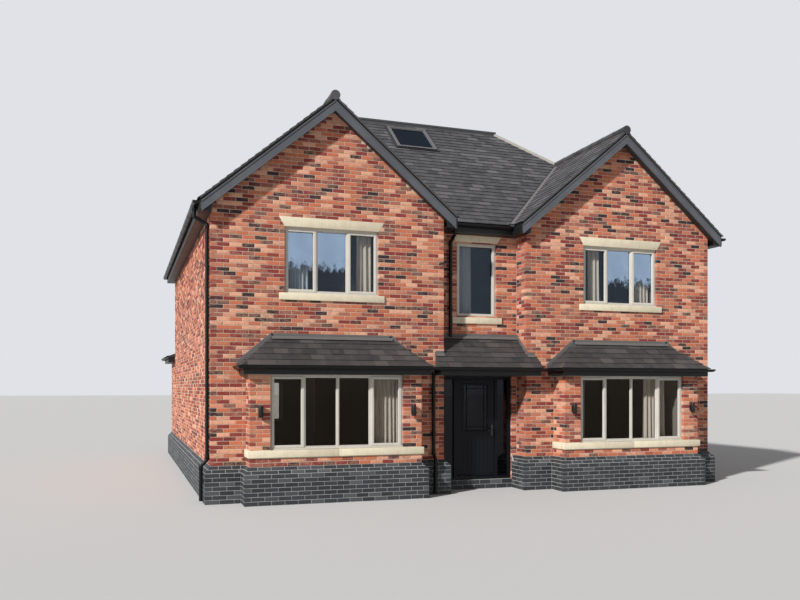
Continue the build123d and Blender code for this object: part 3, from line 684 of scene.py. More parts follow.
def tile_unit():
    """One tile, with its head on the slope and its tail lifted onto the tile below."""
    half = (tile_width - tile_gap) / 2
    unit = box_piece("tile_unit", (-half, 0, 0), (half, tile_gauge + tile_lap, tile_thickness))
    edit(unit, faces=lambda middle, normal: normal.y < -0.9)
    bpy.ops.transform.translate(value=(0, 0, tile_lift))
    return ease(unit, lambda middle, run: middle.z > tile_thickness * 0.9 and middle.y < tile_gauge
                and not (middle.y < 1e-4 and abs(run.z) > 1e-4), tile_arris)


tile = tile_unit()


def past_x(x, sign):
    """The plane across the house at a place along X, and the way from it that goes."""
    return Vector((x, 0, 0)), Vector((sign, 0, 0))


def past_y(y, sign):
    return Vector((0, y, 0)), Vector((0, sign, 0))


def plumb(start, end, inside, back=0.0):
    """The upright plane through two points of the plan, which faces away from a third."""
    run = Vector(end) - Vector(start)
    direction = Vector((run.y, -run.x, 0)).normalized()
    point = Vector((*start, 0))
    if (Vector((*inside, 0)) - point).dot(direction) > 0:
        direction = -direction
    return point - direction * back, direction


def tiled(name, foot, inward, cuts, pitch=roof_pitch, reach=6.5, height=main_height, keep=None,
          finish=main_tile, bond=0):
    """Tiles over one slope. The foot is a point of its eave, and inward is the way up it in plan."""
    up = Vector((inward[0] * math.cos(pitch), inward[1] * math.cos(pitch), math.sin(pitch)))
    along = Vector((inward[1], -inward[0], 0))
    columns = math.ceil(reach / tile_width)
    places = []
    for row in range(math.ceil(height / tile_gauge) + 1):
        for column in range(-columns, columns + 1):
            place = (foot + along * (column + (row + bond) % 2 / 2) * tile_width
                     + up * (row * tile_gauge - eave_lap))
            middle = place + up * tile_gauge / 2
            outside = max((middle - point).dot(direction) for point, direction in cuts)
            if outside < tile_width * 0.7 and (keep is None or keep(middle)):
                places.append((place, 0, chance(*place, 5.0)))
    field = copies(name, tile, (along, up, along.cross(up)), places)
    trim(field, cuts)
    done(field, finish)


wing_reach = ridge_y - gable_y + tile_width
front_middle = (0, crown_front - 1)
front_cuts = [past_y(crown_front, 1)]
rear_cuts = [past_y(rear_low.y, -1)]
for side, hand in sides:
    outer_corner = (side * outer_eave, rear_eave)
    inner_corner = (side * inner_eave, front_eave)
    ridge_end = (side * wing_axis, ridge_y)
    front_crown = (side * crown_x, crown_front)
    rear_crown = (side * crown_x, rear_low.y)
    beside = (side * outer_eave, 0)
    foot = Vector((side * outer_eave, gable_y, eave))
    tiled(f"{hand}_wing_outer_tiles", foot, (-side, 0),
          [past_y(verge_y, -1), past_x(side * wing_axis, -side)], reach=wing_reach,
          keep=lambda place: place.y < ridge_y)
    tiled(f"{hand}_slope_tiles", foot, (-side, 0),
          [plumb(ridge_end, front_crown, beside), plumb(outer_corner, rear_crown, beside),
           past_x(side * crown_x, -side)],
          reach=rear_eave - gable_y, keep=lambda place: place.y >= ridge_y)
    tiled(f"{hand}_wing_inner_tiles", Vector((side * inner_eave, gable_y, eave)), (side, 0),
          [past_y(verge_y, -1), past_x(side * wing_axis, side),
           plumb(inner_corner, ridge_end, (side * wing_axis, gable_y), valley_gap)],
          reach=wing_reach, bond=1)
    front_cuts += [plumb(inner_corner, ridge_end, front_middle, valley_gap),
                   plumb(ridge_end, front_crown, front_middle)]
    rear_cuts.append(plumb(outer_corner, rear_crown, (0, rear_eave - 1)))
tiled("rear_tiles", Vector((0, rear_eave, eave)), (0, -1), rear_cuts)

# The front slope's tiles stop at the roof window, so they are laid in four parts round it.
window_low, window_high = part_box("roof_window_frame")
window_length = 1.1
window_lift = 0.06
right_way = Vector((1, 0, 0))
backward = Vector((0, 1, 0))
slope_up = Vector((0, math.cos(roof_pitch), math.sin(roof_pitch)))
slope_out = Vector((0, -math.sin(roof_pitch), math.cos(roof_pitch)))
window_half = (window_high.x - window_low.x) / 2
window_y = window_low.y + window_length / 2 * slope_up.y - window_lift * slope_out.y
window_seat = Vector(((window_low.x + window_high.x) / 2, window_y,
                      eave + (window_y - front_eave) * roof_rise))
left_edge = window_seat - right_way * window_half
right_edge = window_seat + right_way * window_half
foot_edge = window_seat - slope_up * window_length / 2
head_edge = window_seat + slope_up * window_length / 2
between = [(left_edge, -right_way), (right_edge, right_way)]
for number, cuts in enumerate(([(left_edge, right_way)], [(right_edge, -right_way)],
                               between + [(foot_edge, slope_up)], between + [(head_edge, -slope_up)])):
    tiled(f"front_tiles_{number + 1}", Vector((0, front_eave, eave)), (0, 1), front_cuts + cuts)


def lean_to_tiles(name, low, high, eave_y, wall_y):
    """Tiles on the long slope and the two hipped ends of a low roof."""
    run = abs(wall_y - eave_y)
    pitch = math.atan2(high.z - low.z, run)
    way = math.copysign(1, wall_y - eave_y)
    centre = (low.x + high.x) / 2
    hips = [plumb((x, eave_y), (x + sign * run, wall_y), (centre, eave_y))
            for x, sign in ((low.x, 1), (high.x, -1))]
    size = {"pitch": pitch, "reach": high.x - low.x, "height": run / math.cos(pitch) + eave_lap,
            "finish": low_tile}
    wall_cut = past_y(wall_y, way)
    tiled(f"{name}_front", Vector((centre, eave_y, low.z)), (0, way), hips + [wall_cut], **size)
    for end, x, sign, (point, away) in (("left", low.x, 1, hips[0]), ("right", high.x, -1, hips[1])):
        tiled(f"{name}_{end}", Vector((x, eave_y, low.z)), (sign, 0), [(point, -away), wall_cut], **size)


bay_boxes = solids("bay_roofs")
for (side, hand), (low, high) in zip(sides, bay_boxes):
    lean_to_tiles(f"{hand}_bay_tiles", low, high, low.y, high.y)
lean_low, lean_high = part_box("extension_roof")
lean_to_tiles("extension_tiles", lean_low, lean_high, lean_high.y, lean_low.y)
canopy_low, canopy_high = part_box("canopy_roof")
recess_half = half_width - wing_width
for name, half, walls in (("front", canopy_high.x + verge_lap, [past_y(wing_face, 1)]),
                          ("back", recess_half, [past_y(wing_face, -1), past_y(recess_face, 1)])):
    tiled(f"canopy_tiles_{name}", Vector((0, canopy_low.y, canopy_low.z)), (0, 1),
          [past_x(-half, -1), past_x(half, 1)] + walls, reach=1.3, height=1.2, finish=low_tile)

# Ridges, hips, valleys and verges
# Half-round tiles cap the two gable ridges and smaller ones the hips, all bedded in mortar. The
# valleys are lined in grey sheet, and at the verges the tiles lie in mortar on a dark undercloak.
ridge_radius = 0.085
ridge_length = 0.45
ridge_centre = 0.035
ridge_overlap = 1.02
hip_radius = 0.045
hip_length = 0.33
hip_centre = 0.025
flare = 1.07
bed_width = 0.15
bed_height = 0.07
valley_width = 0.13
valley_height = 0.036
valley_edge = 0.009
verge_bed = (-0.010, 0.018)
undercloak = (-0.046, -0.010)
bed_back = 0.004
undercloak_proud = 0.012
verge_tuck = 0.04
rake_overrun = 0.05
bar_arris = 0.002
plain_tone = 0.5
hip_colour = (0.33, 0.305, 0.27, 1)
bed_colour = (0.095, 0.085, 0.078, 1)
lead_colour = (0.125, 0.119, 0.114, 1)
black_colour = (0.006, 0.0065, 0.007, 1)


def plain_finish(name, colour, roughness, grain=0.0004, scale=120, gloss=0.5):
    """A surface of one colour with faint clouds, stains and grain."""
    material, place = new_finish(name)
    cloud = place.noise(3.5, 4, 0.6)
    streak = place.stretched(9, 9, 0.8).noise(3, 4)
    deep = toned(colour, 0.7)
    stained = (streak.between(0.45, 0.75) * 0.35).mix(colour, deep)
    return coat(material, base_color=(cloud.between(0.3, 0.8) * 0.3).mix(stained, deep),
                roughness=cloud * 0.15 + (roughness - 0.07), specular_ior_level=gloss,
                normal=place.dented(place.noise(scale, 3) * grain))


hip_finish = plain_finish("hip_capping", hip_colour, 0.8)
bed_finish = plain_finish("bedding_mortar", bed_colour, 0.95, 0.002)
lead_finish = plain_finish("lead", lead_colour, 0.6, 0.0008, 40)
black_finish = plain_finish("black_plastic", black_colour, 0.35, 0.0001, gloss=0.22)


def smooth(piece, angle=35):
    """Rounded faces shade smoothly and sharp edges stay sharp."""
    deselect()
    piece.select_set(True)
    bpy.context.view_layer.objects.active = piece
    bpy.ops.object.shade_smooth_by_angle(angle=math.radians(angle))
    return piece


def cylinder(name, radius, length, vertices=24, lying=False, ends="NGON"):
    """A cylinder about the origin, as the start of a piece, upright or with its axis along X."""
    deselect()
    bpy.ops.mesh.primitive_cylinder_add(vertices=vertices, radius=radius, depth=length,
                                        end_fill_type=ends, rotation=(0, math.pi / 2 * lying, 0))
    piece = bpy.context.object
    piece.name = name
    bpy.ops.object.transform_apply(location=True, rotation=True, scale=True)
    return piece


def capped(name, radius, length, start, end, finish, slot, wide=flare, stands_for=()):
    """A row of round units along a line, each a little wider at the end towards the start."""
    line = end - start
    count = max(1, round(line.length / length))
    step = line.length / count
    unit = cylinder("capping_unit", radius, step * ridge_overlap, 20)
    edit(unit, faces=lambda middle, normal: normal.z < -0.9)
    bpy.ops.transform.resize(value=(wide, wide, 1))
    along = line.normalized()
    across = Vector((-along.y, along.x, 0)).normalized()
    places = [(start + along * step * (number + 0.5), 0, chance(*start, number, 9.0))
              for number in range(count)]
    bpy.ops.object.mode_set(mode="OBJECT")
    row = copies(name, unit, (across, along.cross(across), along), places)
    bpy.data.objects.remove(unit)
    return done(smooth(row), finish, stands_for)


def bar(name, start, end, across, width, height, finish, cuts=(), arris=bar_arris):
    """A straight bar of rectangular section with eased edges, cut off at planes."""
    run = end - start
    along = run.normalized()
    half = Vector((run.length, width, height)) / 2
    unit = ease(box_piece("bar_unit", -half, half), everything, min(arris, width / 4, height / 4))
    place = ((start + end) / 2, 0, plain_tone)
    piece = copies(name, unit, (along, across, along.cross(across)), [place])
    bpy.data.objects.remove(unit)
    if cuts:
        trim(piece, cuts)
    done(piece, finish)


def rake_ends(foot_x, axis_x):
    """The upright planes that end a bar at the foot of a gable and at its middle."""
    sign = math.copysign(1, axis_x - foot_x)
    return [past_x(axis_x, sign), past_x(foot_x, -sign)]


for side, hand in sides:
    axis_x = side * wing_axis
    apex = Vector((axis_x, verge_y, ridge_z))
    ridge_back = Vector((axis_x, ridge_y, ridge_z))
    lift = upright * ridge_centre
    capped(f"{hand}_ridge_tiles", ridge_radius, ridge_length, apex + lift, ridge_back + lift, main_tile,
           "roof_tile", stands_for=["gable_ridges"])
    bar(f"{hand}_ridge_bed", apex + backward * 0.01, ridge_back, right_way, bed_width, bed_height,
        bed_finish)
    lift = upright * hip_centre
    for name, foot, head in (
            ("front", ridge_back, Vector((side * crown_x, crown_front, crown_z))),
            ("rear", Vector((side * outer_eave, rear_eave, eave)),
             Vector((side * crown_x, rear_low.y, crown_z)))):
        capped(f"{hand}_{name}_hip", hip_radius, hip_length, foot + lift, head + lift, hip_finish,
               "lead", stands_for=["hip_caps"])
    valley_foot = Vector((side * inner_eave, front_eave, eave))
    valley_run = ridge_back - valley_foot
    flat = Vector((-valley_run.y, valley_run.x, 0)).normalized()
    lift = upright * valley_height
    bar(f"{hand}_valley", valley_foot + lift, ridge_back + lift, flat, valley_width, 0.01, lead_finish)
    for number, sign in enumerate((-1, 1)):
        edge = flat * (sign * valley_width / 2) + lift * 1.15
        capped(f"{hand}_valley_edge_{number + 1}", valley_edge, 3.2, valley_foot + edge,
               ridge_back + edge, hip_finish, "lead", 1.0)
    for number, foot_x in enumerate((side * outer_eave, side * inner_eave)):
        foot = Vector((foot_x, 0, eave))
        slope_run = Vector((axis_x, 0, ridge_z)) - foot
        away = slope_run.normalized().cross(backward)
        if away.z < 0:
            away = -away
        back = gable_y + verge_tuck
        for name, (low, high), front_y, finish in (
                ("bed", verge_bed, verge_y + bed_back, bed_finish),
                ("undercloak", undercloak, gable_y - undercloak_proud, black_finish)):
            centre = away * ((low + high) / 2) + backward * ((front_y + back) / 2)
            past = slope_run * rake_overrun
            start, end = foot - past + centre, foot + slope_run + past + centre
            bar(f"{hand}_verge_{name}_{number + 1}", start, end, backward, back - front_y, high - low,
                finish, rake_ends(foot_x, axis_x))

# Lead flashings
# Sheet lead turned up the wall above each low roof and dressed down over the tiles, in lengths that lap.
# A strip of lead on the wall follows each hipped end up the brickwork.
lead_upstand = 0.075
lead_apron = 0.09
lead_thickness = 0.006
lead_off = 0.011
lead_over_tiles = 0.036
lead_length = 1.1
lead_lap = 0.1
lead_tuck = 0.03
lead_end = 0.02


def lead_bar(name, start, end, across, width, height=lead_thickness):
    bar(name, start, end, across, width, height, lead_finish)


def flashing(name, wall, top, start, end, pitch, way):
    """Lead along the head of a low roof. The wall lies in the direction of way along Y."""
    up = Vector((0, way * math.cos(pitch), math.sin(pitch)))
    clear = Vector((0, -way * math.sin(pitch), math.cos(pitch))) * lead_over_tiles
    low, high = (Vector((x, wall - way * lead_off, top)) for x in (start, end))
    rise = upright * (lead_upstand / 2)
    down = clear - up * (lead_apron / 2)
    lead_bar(f"{name}_upstand", low + rise, high + rise, upright, lead_upstand)
    lead_bar(f"{name}_apron", low + down, high + down, up, lead_apron)
    for number in range(1, int((end - start) / lead_length) + 1):
        middle = low + right_way * number * lead_length + clear * 0.1 + down
        half = right_way * lead_lap / 2
        lead_bar(f"{name}_lap_{number}", middle - half, middle + half, up, lead_apron * 1.04)


bay_run = bay_boxes[0][1].y - bay_boxes[0][0].y
low_pitch = math.atan2(bay_boxes[0][1].z - bay_boxes[0][0].z, bay_run)
for (side, hand), (low, high) in zip(sides, bay_boxes):
    flashing(f"{hand}_bay_lead", high.y, high.z, low.x + bay_run - lead_tuck,
             high.x - bay_run + lead_tuck, low_pitch, 1)
    for number, (x, sign) in enumerate(((low.x, 1), (high.x, -1))):
        foot = Vector((x - sign * lead_end, high.y - lead_off, low.z + lead_over_tiles))
        head = foot + Vector((sign * (bay_run + lead_end), 0, high.z - low.z + lead_end))
        lead_bar(f"{hand}_bay_end_lead_{number + 1}", foot, head, backward, lead_thickness, lead_apron)
flashing("canopy_lead", canopy_high.y, canopy_high.z, -recess_half, recess_half, low_pitch, 1)
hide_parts("lead_flashings")
for side, hand in sides:
    wall_x = side * (recess_half - lead_off)
    foot = Vector((wall_x, wing_face, canopy_low.z + (wing_face - canopy_low.y) * math.tan(low_pitch)))
    head = Vector((wall_x, canopy_high.y, canopy_high.z))
    lift = upright * (lead_over_tiles + lead_end)
    lead_bar(f"{hand}_canopy_side_lead", foot + lift, head + lift, right_way, lead_thickness, lead_apron)
    flashing(f"{hand}_canopy_wing_lead", wing_face, foot.z - 0.01,
             *sorted((side * recess_half, side * canopy_high.x)), low_pitch, 1)
lean_run = lean_high.y - lean_low.y
flashing("extension_lead", lean_low.y, lean_high.z, lean_low.x + lean_run - 0.05,
         lean_high.x - lean_run + 0.05, math.atan2(lean_high.z - lean_low.z, lean_run), -1)

# Flat top of the roof and the roof window
# The flat top is dark single-ply sheeting with welded laps and a metal trim round its kerb. The roof
# window is a bronze metal frame with dark glass, set in black flashings on the tiles.
sheet_colour = (0.055, 0.057, 0.060, 1)
trim_colour = (0.060, 0.058, 0.060, 1)
bronze_colour = (0.105, 0.097, 0.095, 1)
trim_height = 0.045
trim_proud = 0.008
sheet_width = 1.0
sheet_lap = 0.05
sheet_thickness = 0.003
sheet_margin = 0.03
cover_rail = 0.05
sash_lap_under = 0.004
sash_width = 0.038
sash_sunk = 0.012
sash_depth = 0.06
skirt = 0.06
skirt_height = 0.037

flat_finish = plain_finish("flat_roof", sheet_colour, 0.75, 0.0008, 60)
trim_finish = plain_finish("metal_trim", trim_colour, 0.4, 0.0002)
bronze_finish = plain_finish("bronze_metal", bronze_colour, 0.38, 0.0002)
set_finish(flat_finish, "crown_roof")
flat_low, flat_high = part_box("crown_roof")
corners = [Vector((x, y, flat_high.z - trim_height / 2)) for x, y in
           ((flat_low.x, flat_low.y), (flat_high.x, flat_low.y), (flat_high.x, flat_high.y),
            (flat_low.x, flat_high.y))]
for number in range(4):
    start, end = corners[number], corners[(number + 1) % 4]
    along = (end - start).normalized()
    bar(f"crown_trim_{number + 1}", start - along * trim_proud, end + along * trim_proud,
        along.cross(upright), 2 * trim_proud, trim_height, trim_finish)
for number in range(1, int((flat_high.x - flat_low.x) / sheet_width) + 1):
    start, end = (Vector((flat_low.x + number * sheet_width, y, flat_high.z + sheet_thickness / 2))
                  for y in (flat_low.y + sheet_margin, flat_high.y - sheet_margin))
    bar(f"crown_lap_{number}", start, end, right_way, sheet_lap, sheet_thickness, flat_finish)


def rail_frame(name, low, high, rail, arris=0.004):
    """A rectangular frame that faces -Y, with rails of one width and eased front edges."""
    piece = box_piece(name, low, high)
    edit(piece, faces=lambda middle, normal: abs(normal.y) > 0.9)
    bpy.ops.mesh.inset(thickness=rail, use_individual=True)
    bpy.ops.mesh.bridge_edge_loops()
    front = min(low[1], high[1])
    return ease(piece, lambda middle, run: middle.y < front + 1e-5
                and min(abs(run.x), abs(run.z)) < 1e-6, arris)


half_long = window_length / 2
inner = cover_rail - sash_lap_under
for name, back, front_y, deep_y, rail, arris in (
        ("cover", 0, -window_lift, slab * math.cos(roof_pitch), cover_rail, 0.006),
        ("sash", inner, -window_lift + sash_sunk, sash_depth, sash_width, 0.005)):
    unit = rail_frame(f"{name}_unit", (back - window_half, front_y, back - half_long),
                      (window_half - back, deep_y, half_long - back), rail, arris)
    placed = copies(f"roof_window_{name}", unit, (right_way, -slope_out, slope_up),
                    [(window_seat, 0, plain_tone)])
    done(placed, bronze_finish, ["roof_window_frame"])
side_u = window_half + skirt / 2
for name, start, end, across, share in (
        ("foot", (-window_half - skirt, -half_long - skirt / 2),
         (window_half + skirt, -half_long - skirt / 2), slope_up, 1),
        ("head", (-window_half - skirt, half_long + skirt / 3),
         (window_half + skirt, half_long + skirt / 3), slope_up, 0.7),
        ("left", (-side_u, -half_long - skirt), (-side_u, half_long), right_way, 0.9),
        ("right", (side_u, -half_long - skirt), (side_u, half_long), right_way, 0.9)):
    start, end = (window_seat + right_way * u + slope_up * v + slope_out * skirt_height
                  for u, v in (start, end))
    bar(f"roof_window_skirt_{name}", start, end, across, skirt * share, lead_thickness, black_finish)

# Cast stone
# Cream cast stone, bedded in the brickwork: sills that oversail the wall, lintels with splayed ends over
# the windows, and a band that runs round each bay below its window.
stone_colour = (0.740, 0.655, 0.480, 1)
stain_colour = (0.30, 0.27, 0.21, 1)
stone_arris = 0.005
stone_joint = 0.005
lintel_splay = 0.105
lintel_depth = 0.12
return_depth = 0.145


def stone_finish():
    """Fine cast stone with faint clouds, small pits and a little water staining."""
    material, place = new_finish("cast_stone")
    cloud = place.noise(6, 4, 0.6)
    grain = place.noise(260, 3)
    # Painted shade: the pits are darker, for the shade inside them.
    pits = place.noise(90, 2).between(0.66, 0.74)
    streak = place.stretched(14, 14, 0.9).noise(2, 4).between(0.5, 0.8)
    deep = toned(stone_colour, 0.80)
    clouded = (cloud.between(0.35, 0.7) * 0.5 + grain * 0.2).mix(stone_colour, deep)
    stained = (streak * 0.28).mix(clouded, stain_colour)
    return coat(material, base_color=(pits * 0.4).mix(stained, deep), roughness=0.88,
                normal=place.dented(grain * 0.0005 - pits * 0.0008))


cast_stone = stone_finish()


def stone_block(name, low, high, node, cuts=()):
    """One block of stone with eased edges, its ends cut off at planes."""
    block = box_piece(name, low, high)
    if cuts:
        trim(block, cuts)
    ease(block, everything, stone_arris, 2)
    done(smooth(block, 50), cast_stone, [node])


for node in ("upper_window_sills", "upper_window_lintels", "rear_sills_and_lintels"):
    for number, (low, high) in enumerate(solids(node)):
        cuts = [(Vector((x, 0, low.z)), Vector((sign * (high.z - low.z), 0, -lintel_splay)))
                for x, sign in ((low.x + lintel_splay, -1), (high.x - lintel_splay, 1))]
        is_lintel = high.y - low.y < lintel_depth
        stone_block(f"{node}_{number + 1}", low, high, node, cuts if is_lintel else ())
for number, (low, high) in enumerate(solids("bay_sills")):
    middle = (low.x + high.x) / 2
    inner_y = low.y + return_depth
    gap = stone_joint / 2
    for end, start_x, end_x, turn_x, stop_x in (
            ("left", low.x, middle - gap, low.x, low.x + return_depth),
            ("right", middle + gap, high.x, high.x - return_depth, high.x)):
        name = f"bay_sill_{number + 1}_{end}"
        stone_block(name, (start_x, low.y, low.z), (end_x, inner_y, high.z), "bay_sills")
        stone_block(f"{name}_return", (turn_x, inner_y + stone_joint, low.z), (stop_x, high.y, high.z),
                    "bay_sills")

# Windows
# Cream-grey plastic frames with casements that stand proud of the frame and fixed lights between them,
# sealed double glazing in black gaskets, and curtains on rails behind some of the glass.
frame_rail = 0.045
frame_back = 0.070
mullion_width = 0.036
mullion_back = 0.040
sash_rail = 0.050
sash_proud = 0.012
sash_lap = 0.012
bead_width = 0.014
bead_back = 0.010
gasket_width = 0.005
cill_height = 0.030
cill_proud = 0.022
frame_colour = (0.60, 0.565, 0.500, 1)
rubber_colour = (0.012, 0.012, 0.013, 1)
# Painted reflection: the blue of a sky painted into the upper outer lights of the glass.
painted_sky_colour = (0.40, 0.53, 0.69, 1)
# Painted reflection: a brown painted into the glass low down.
painted_brown_reflection_colour = (0.22, 0.17, 0.13, 1)
# Painted shade: the near-black of the entrance glass, for the dark hall behind it.
painted_hall_shade_colour = (0.022, 0.022, 0.025, 1)
pane_colour = (0.83, 0.82, 0.80, 1)
roof_pane_colour = (0.26, 0.32, 0.44, 1)

frame_finish = plain_finish("window_frame", frame_colour, 0.45, 0.0002, 200)
rubber_finish = plain_finish("gasket", rubber_colour, 0.6, 0.0003)


def slab_piece(name, low, high, arris):
    """A plain rail with its front edges eased."""
    return ease(box_piece(name, low, high), lambda middle, run: middle.y < low[1] + 1e-5, arris)


def join_pieces(name, pieces):
    """One object from several."""
    deselect()
    for piece in pieces:
        piece.select_set(True)
    bpy.context.view_layer.objects.active = pieces[0]
    bpy.ops.object.join()
    pieces[0].name = name
    return pieces[0]


def window_units(width, height, kinds):
    """The frame and the gaskets of one window, centred on its opening, facing -Y from y 0."""
    half_x, half_z = width / 2, height / 2
    inside = half_z - frame_rail
    pitch = width / len(kinds)
    frame = [rail_frame("outer", (-half_x, 0, -half_z), (half_x, frame_back, half_z), frame_rail),
             slab_piece("cill", (-half_x, -cill_proud, -half_z), (half_x, 0.02, cill_height - half_z),
                        0.006)]
    gaskets = []
    for number, kind in enumerate(kinds):
        start = -half_x + number * pitch
        left = start + (mullion_width / 2 if number else frame_rail)
        right = start + pitch - (mullion_width / 2 if number < len(kinds) - 1 else frame_rail)
        if number:
            frame.append(slab_piece("mullion", (start - mullion_width / 2, 0, -inside),
                                    (start + mullion_width / 2, mullion_back, inside), 0.004))
        lap, rail, front = 0, bead_width, bead_back
        if kind == "casement":
            lap, rail, front = sash_lap, sash_rail, -sash_proud
        frame.append(rail_frame("light", (left - lap, front, -inside - lap),
                                (right + lap, mullion_back, inside + lap), rail))
        edge = rail - lap
        gaskets.append(rail_frame("gasket", (left + edge, mullion_back - 0.006, -inside + edge),
                                  (right - edge, mullion_back, inside - edge), gasket_width, 0.001))
    return join_pieces("window_unit", frame), join_pieces("gasket_unit", gaskets)


rear_upper = [box for box in rear_frames if box[0].z > upper_storey]
window_places = {
    "upper_windows": (("casement", "fixed", "casement"), [upper_frames[0], upper_frames[2]],
                      [box for box in rear_upper if abs(box[0].x + box[1].x) > 1]),
    "front_centre_window": (("casement",), [upper_frames[1]], []),
    "rear_centre_window": (("casement",), [], [box for box in rear_upper
                                               if abs(box[0].x + box[1].x) < 1]),
    "low_windows": (("casement", "fixed", "fixed", "casement"), bay_frames,
                    [box for box in rear_frames if box[0].z < upper_storey])}
for name, (kinds, front_boxes, rear_boxes) in window_places.items():
    low, high = (front_boxes or rear_boxes)[0]
    frame_unit, gasket_unit = window_units(high.x - low.x, high.z - low.z, kinds)
    front_node = "bay_window_frames" if name == "low_windows" else "upper_window_frames"
    for unit, finish, part in ((frame_unit, frame_finish, "frames"),
                               (gasket_unit, rubber_finish, "gaskets")):
        for where, boxes, way, node in (("front", front_boxes, 1, front_node),
                                        ("rear", rear_boxes, -1, "rear_window_frames")):
            places = [(Vector(((low.x + high.x) / 2, low.y if way == 1 else high.y,
                               (low.z + high.z) / 2)), 0, chance(*low, 3.0)) for low, high in boxes]
            if places:
                placed = copies(f"{name}_{where}_{part}", unit,
                                (right_way * way, backward * way, upright), places)
                done(placed, finish, [node])


def glass_finish():
    """Double glazing with painted reflections: sky in the upper outer lights, brown low down, and
    painted shade on the entrance glass.
    """
    material, place = new_finish("glass")
    tree = material.node_tree
    height = place.part("Z")
    # Painted reflection: clouds vary the painted sky, and a painted tree edge bounds it below.
    cloud = place.stretched(1.1, 1, 0.8).noise(2.6, 4, 0.6)
    painted_tree_edge = place.stretched(1.0, 1, 0.7).noise(7, 5, 0.7)
    edge = height + (painted_tree_edge - 0.5) * 0.9
    across = place.maths("ABSOLUTE", place.part("X"))
    upstairs = edge.between(4.30, 4.46) * (1 - height.between(5.6, 6.2)) * across.between(2.84, 2.90)
    # Painted shade: the door and its side lights are a dim mirror, nearly black.
    entrance = (1 - across.between(0.80, 0.90)) * (1 - height.between(2.5, 3.0))
    share = upstairs * (cloud * 0.5 + 0.55) + entrance * 0.86 + 0.05
    painted_reflection_tint = height.between(2.6, 3.0).mix(painted_brown_reflection_colour, painted_sky_colour)
    coat(material, base_color=entrance.mix(painted_reflection_tint, painted_hall_shade_colour), metallic=1.0, roughness=0.02)
    through = (height > 6.2).mix(pane_colour, roof_pane_colour)
    clear = place.node("BsdfTransparent", {"Color": through}, output="BSDF")
    mirror = Pattern(tree.nodes["Principled BSDF"].outputs["BSDF"])
    both = place.node("MixShader", {0: share, 1: clear, 2: mirror}, output="Shader")
    tree.links.new(both.socket, tree.nodes["Material Output"].inputs["Surface"])
    return material


set_finish(glass_finish(), "front_window_glass", "rear_window_glass", "door_glass")

# Curtains
# Lined curtains hang in deep pleats from a rail inside the wall, drawn back to one side of a light.
# Their flat width is the length of the cloth along its pleats, and each stops short of the sill.
curtain_gap = 0.10
curtain_glass = 0.06
rail_overrun = 0.03
curtain_drop = 0.03
hem_gap = 0.015
cloth_thickness = 0.0015
pleat_depth = 0.035
pleat_length = 0.085
pleat_steps = 8
curtain_rows = 6
rail_radius = 0.010
cream_cloth = (0.78, 0.74, 0.68, 1)
blue_cloth = (0.62, 0.68, 0.76, 1)
rail_colour = (0.25, 0.24, 0.22, 1)


def cloth_finish(name, colour):
    """A plain woven cotton, with its threads running up and across."""
    material, place = new_finish(name)
    weft = place.stretched(8, 8, 900).noise(1.0, 2)
    warp = place.stretched(900, 900, 6).noise(1.0, 2)
    threads = (weft + warp) * 0.5
    worn = threads * 0.4 + place.noise(7, 3) * 0.4
    return coat(material, base_color=worn.mix(colour, toned(colour, 0.86)), roughness=0.95,
                normal=place.dented(threads * 0.0004))


def thicken(piece, thickness, offset=-1):
    """Gives a skin its thickness, on the inner side unless the offset is 1."""
    bpy.ops.object.modifier_add(type="SOLIDIFY")
    piece.modifiers[-1].thickness = thickness
    piece.modifiers[-1].offset = offset
    bpy.ops.object.modifier_apply(modifier=piece.modifiers[-1].name)


def curtain(name, start, end, glass_y, low, high, finish):
    """A pleated curtain between two places along X, and the rail that it hangs on."""
    top = high - curtain_drop
    bottom = low + hem_gap
    count = max(2, round((end - start) / pleat_length))
    columns = count * pleat_steps

    def fold(across, down):
        """Where a point of the cloth lies in plan. The pleats open out towards the hem."""
        number = across * count
        swell = pleat_depth * (0.6 + 0.3 * down + 0.3 * chance(int(number), start, 2.0))
        drift = 0.010 * down * math.sin(2.1 * number + start)
        return (start + (end - start) * across + 0.008 * math.sin(4 * math.pi * number) + drift,
                glass_y + curtain_gap + swell * math.sin(2 * math.pi * number))

    deselect()
    bpy.ops.mesh.primitive_grid_add(x_subdivisions=columns, y_subdivisions=curtain_rows, size=1)
    piece = bpy.context.object
    piece.name = name
    for vertex in piece.data.vertices:
        across, up = vertex.co.x + 0.5, vertex.co.y + 0.5
        vertex.co = (*fold(across, 1 - up), bottom + (top - bottom) * up)
    steps = [fold(step / columns, 0.5) for step in range(columns + 1)]
    thicken(piece, cloth_thickness)
    done(smooth(piece, 60), finish)
    ends = [Vector((x, glass_y + curtain_gap, top + rail_radius))
            for x in (start - rail_overrun, end + rail_overrun)]
    rail = capped(f"{name}_rail", rail_radius, 3.0, *ends, rail_finish, "window_frame", 1.0)


cream_curtain = cloth_finish("cream_curtain", cream_cloth)
blue_curtain = cloth_finish("blue_curtain", blue_cloth)
rail_finish = plain_finish("curtain_rail", rail_colour, 0.4, 0.0002)
for name, (low, high), first, last, finish in (
        ("left_upper_curtain_1", upper_frames[0], 0.05, 0.27, blue_curtain),
        ("left_upper_curtain_2", upper_frames[0], 0.79, 0.95, cream_curtain),
        ("right_upper_curtain_1", upper_frames[2], 0.13, 0.28, cream_curtain),
        ("right_upper_curtain_2", upper_frames[2], 0.76, 0.96, cream_curtain),
        ("centre_curtain", upper_frames[1], 0.08, 0.45, blue_curtain),
        ("left_bay_curtain", bay_frames[0], 0.77, 0.99, cream_curtain),
        ("right_bay_curtain_1", bay_frames[1], 0.66, 0.87, cream_curtain),
        ("right_bay_curtain_2", bay_frames[1], 0.03, 0.09, blue_curtain)):
    width = high.x - low.x
    curtain(name, low.x + first * width, low.x + last * width, low.y + curtain_glass, low.z, high.z,
            finish)

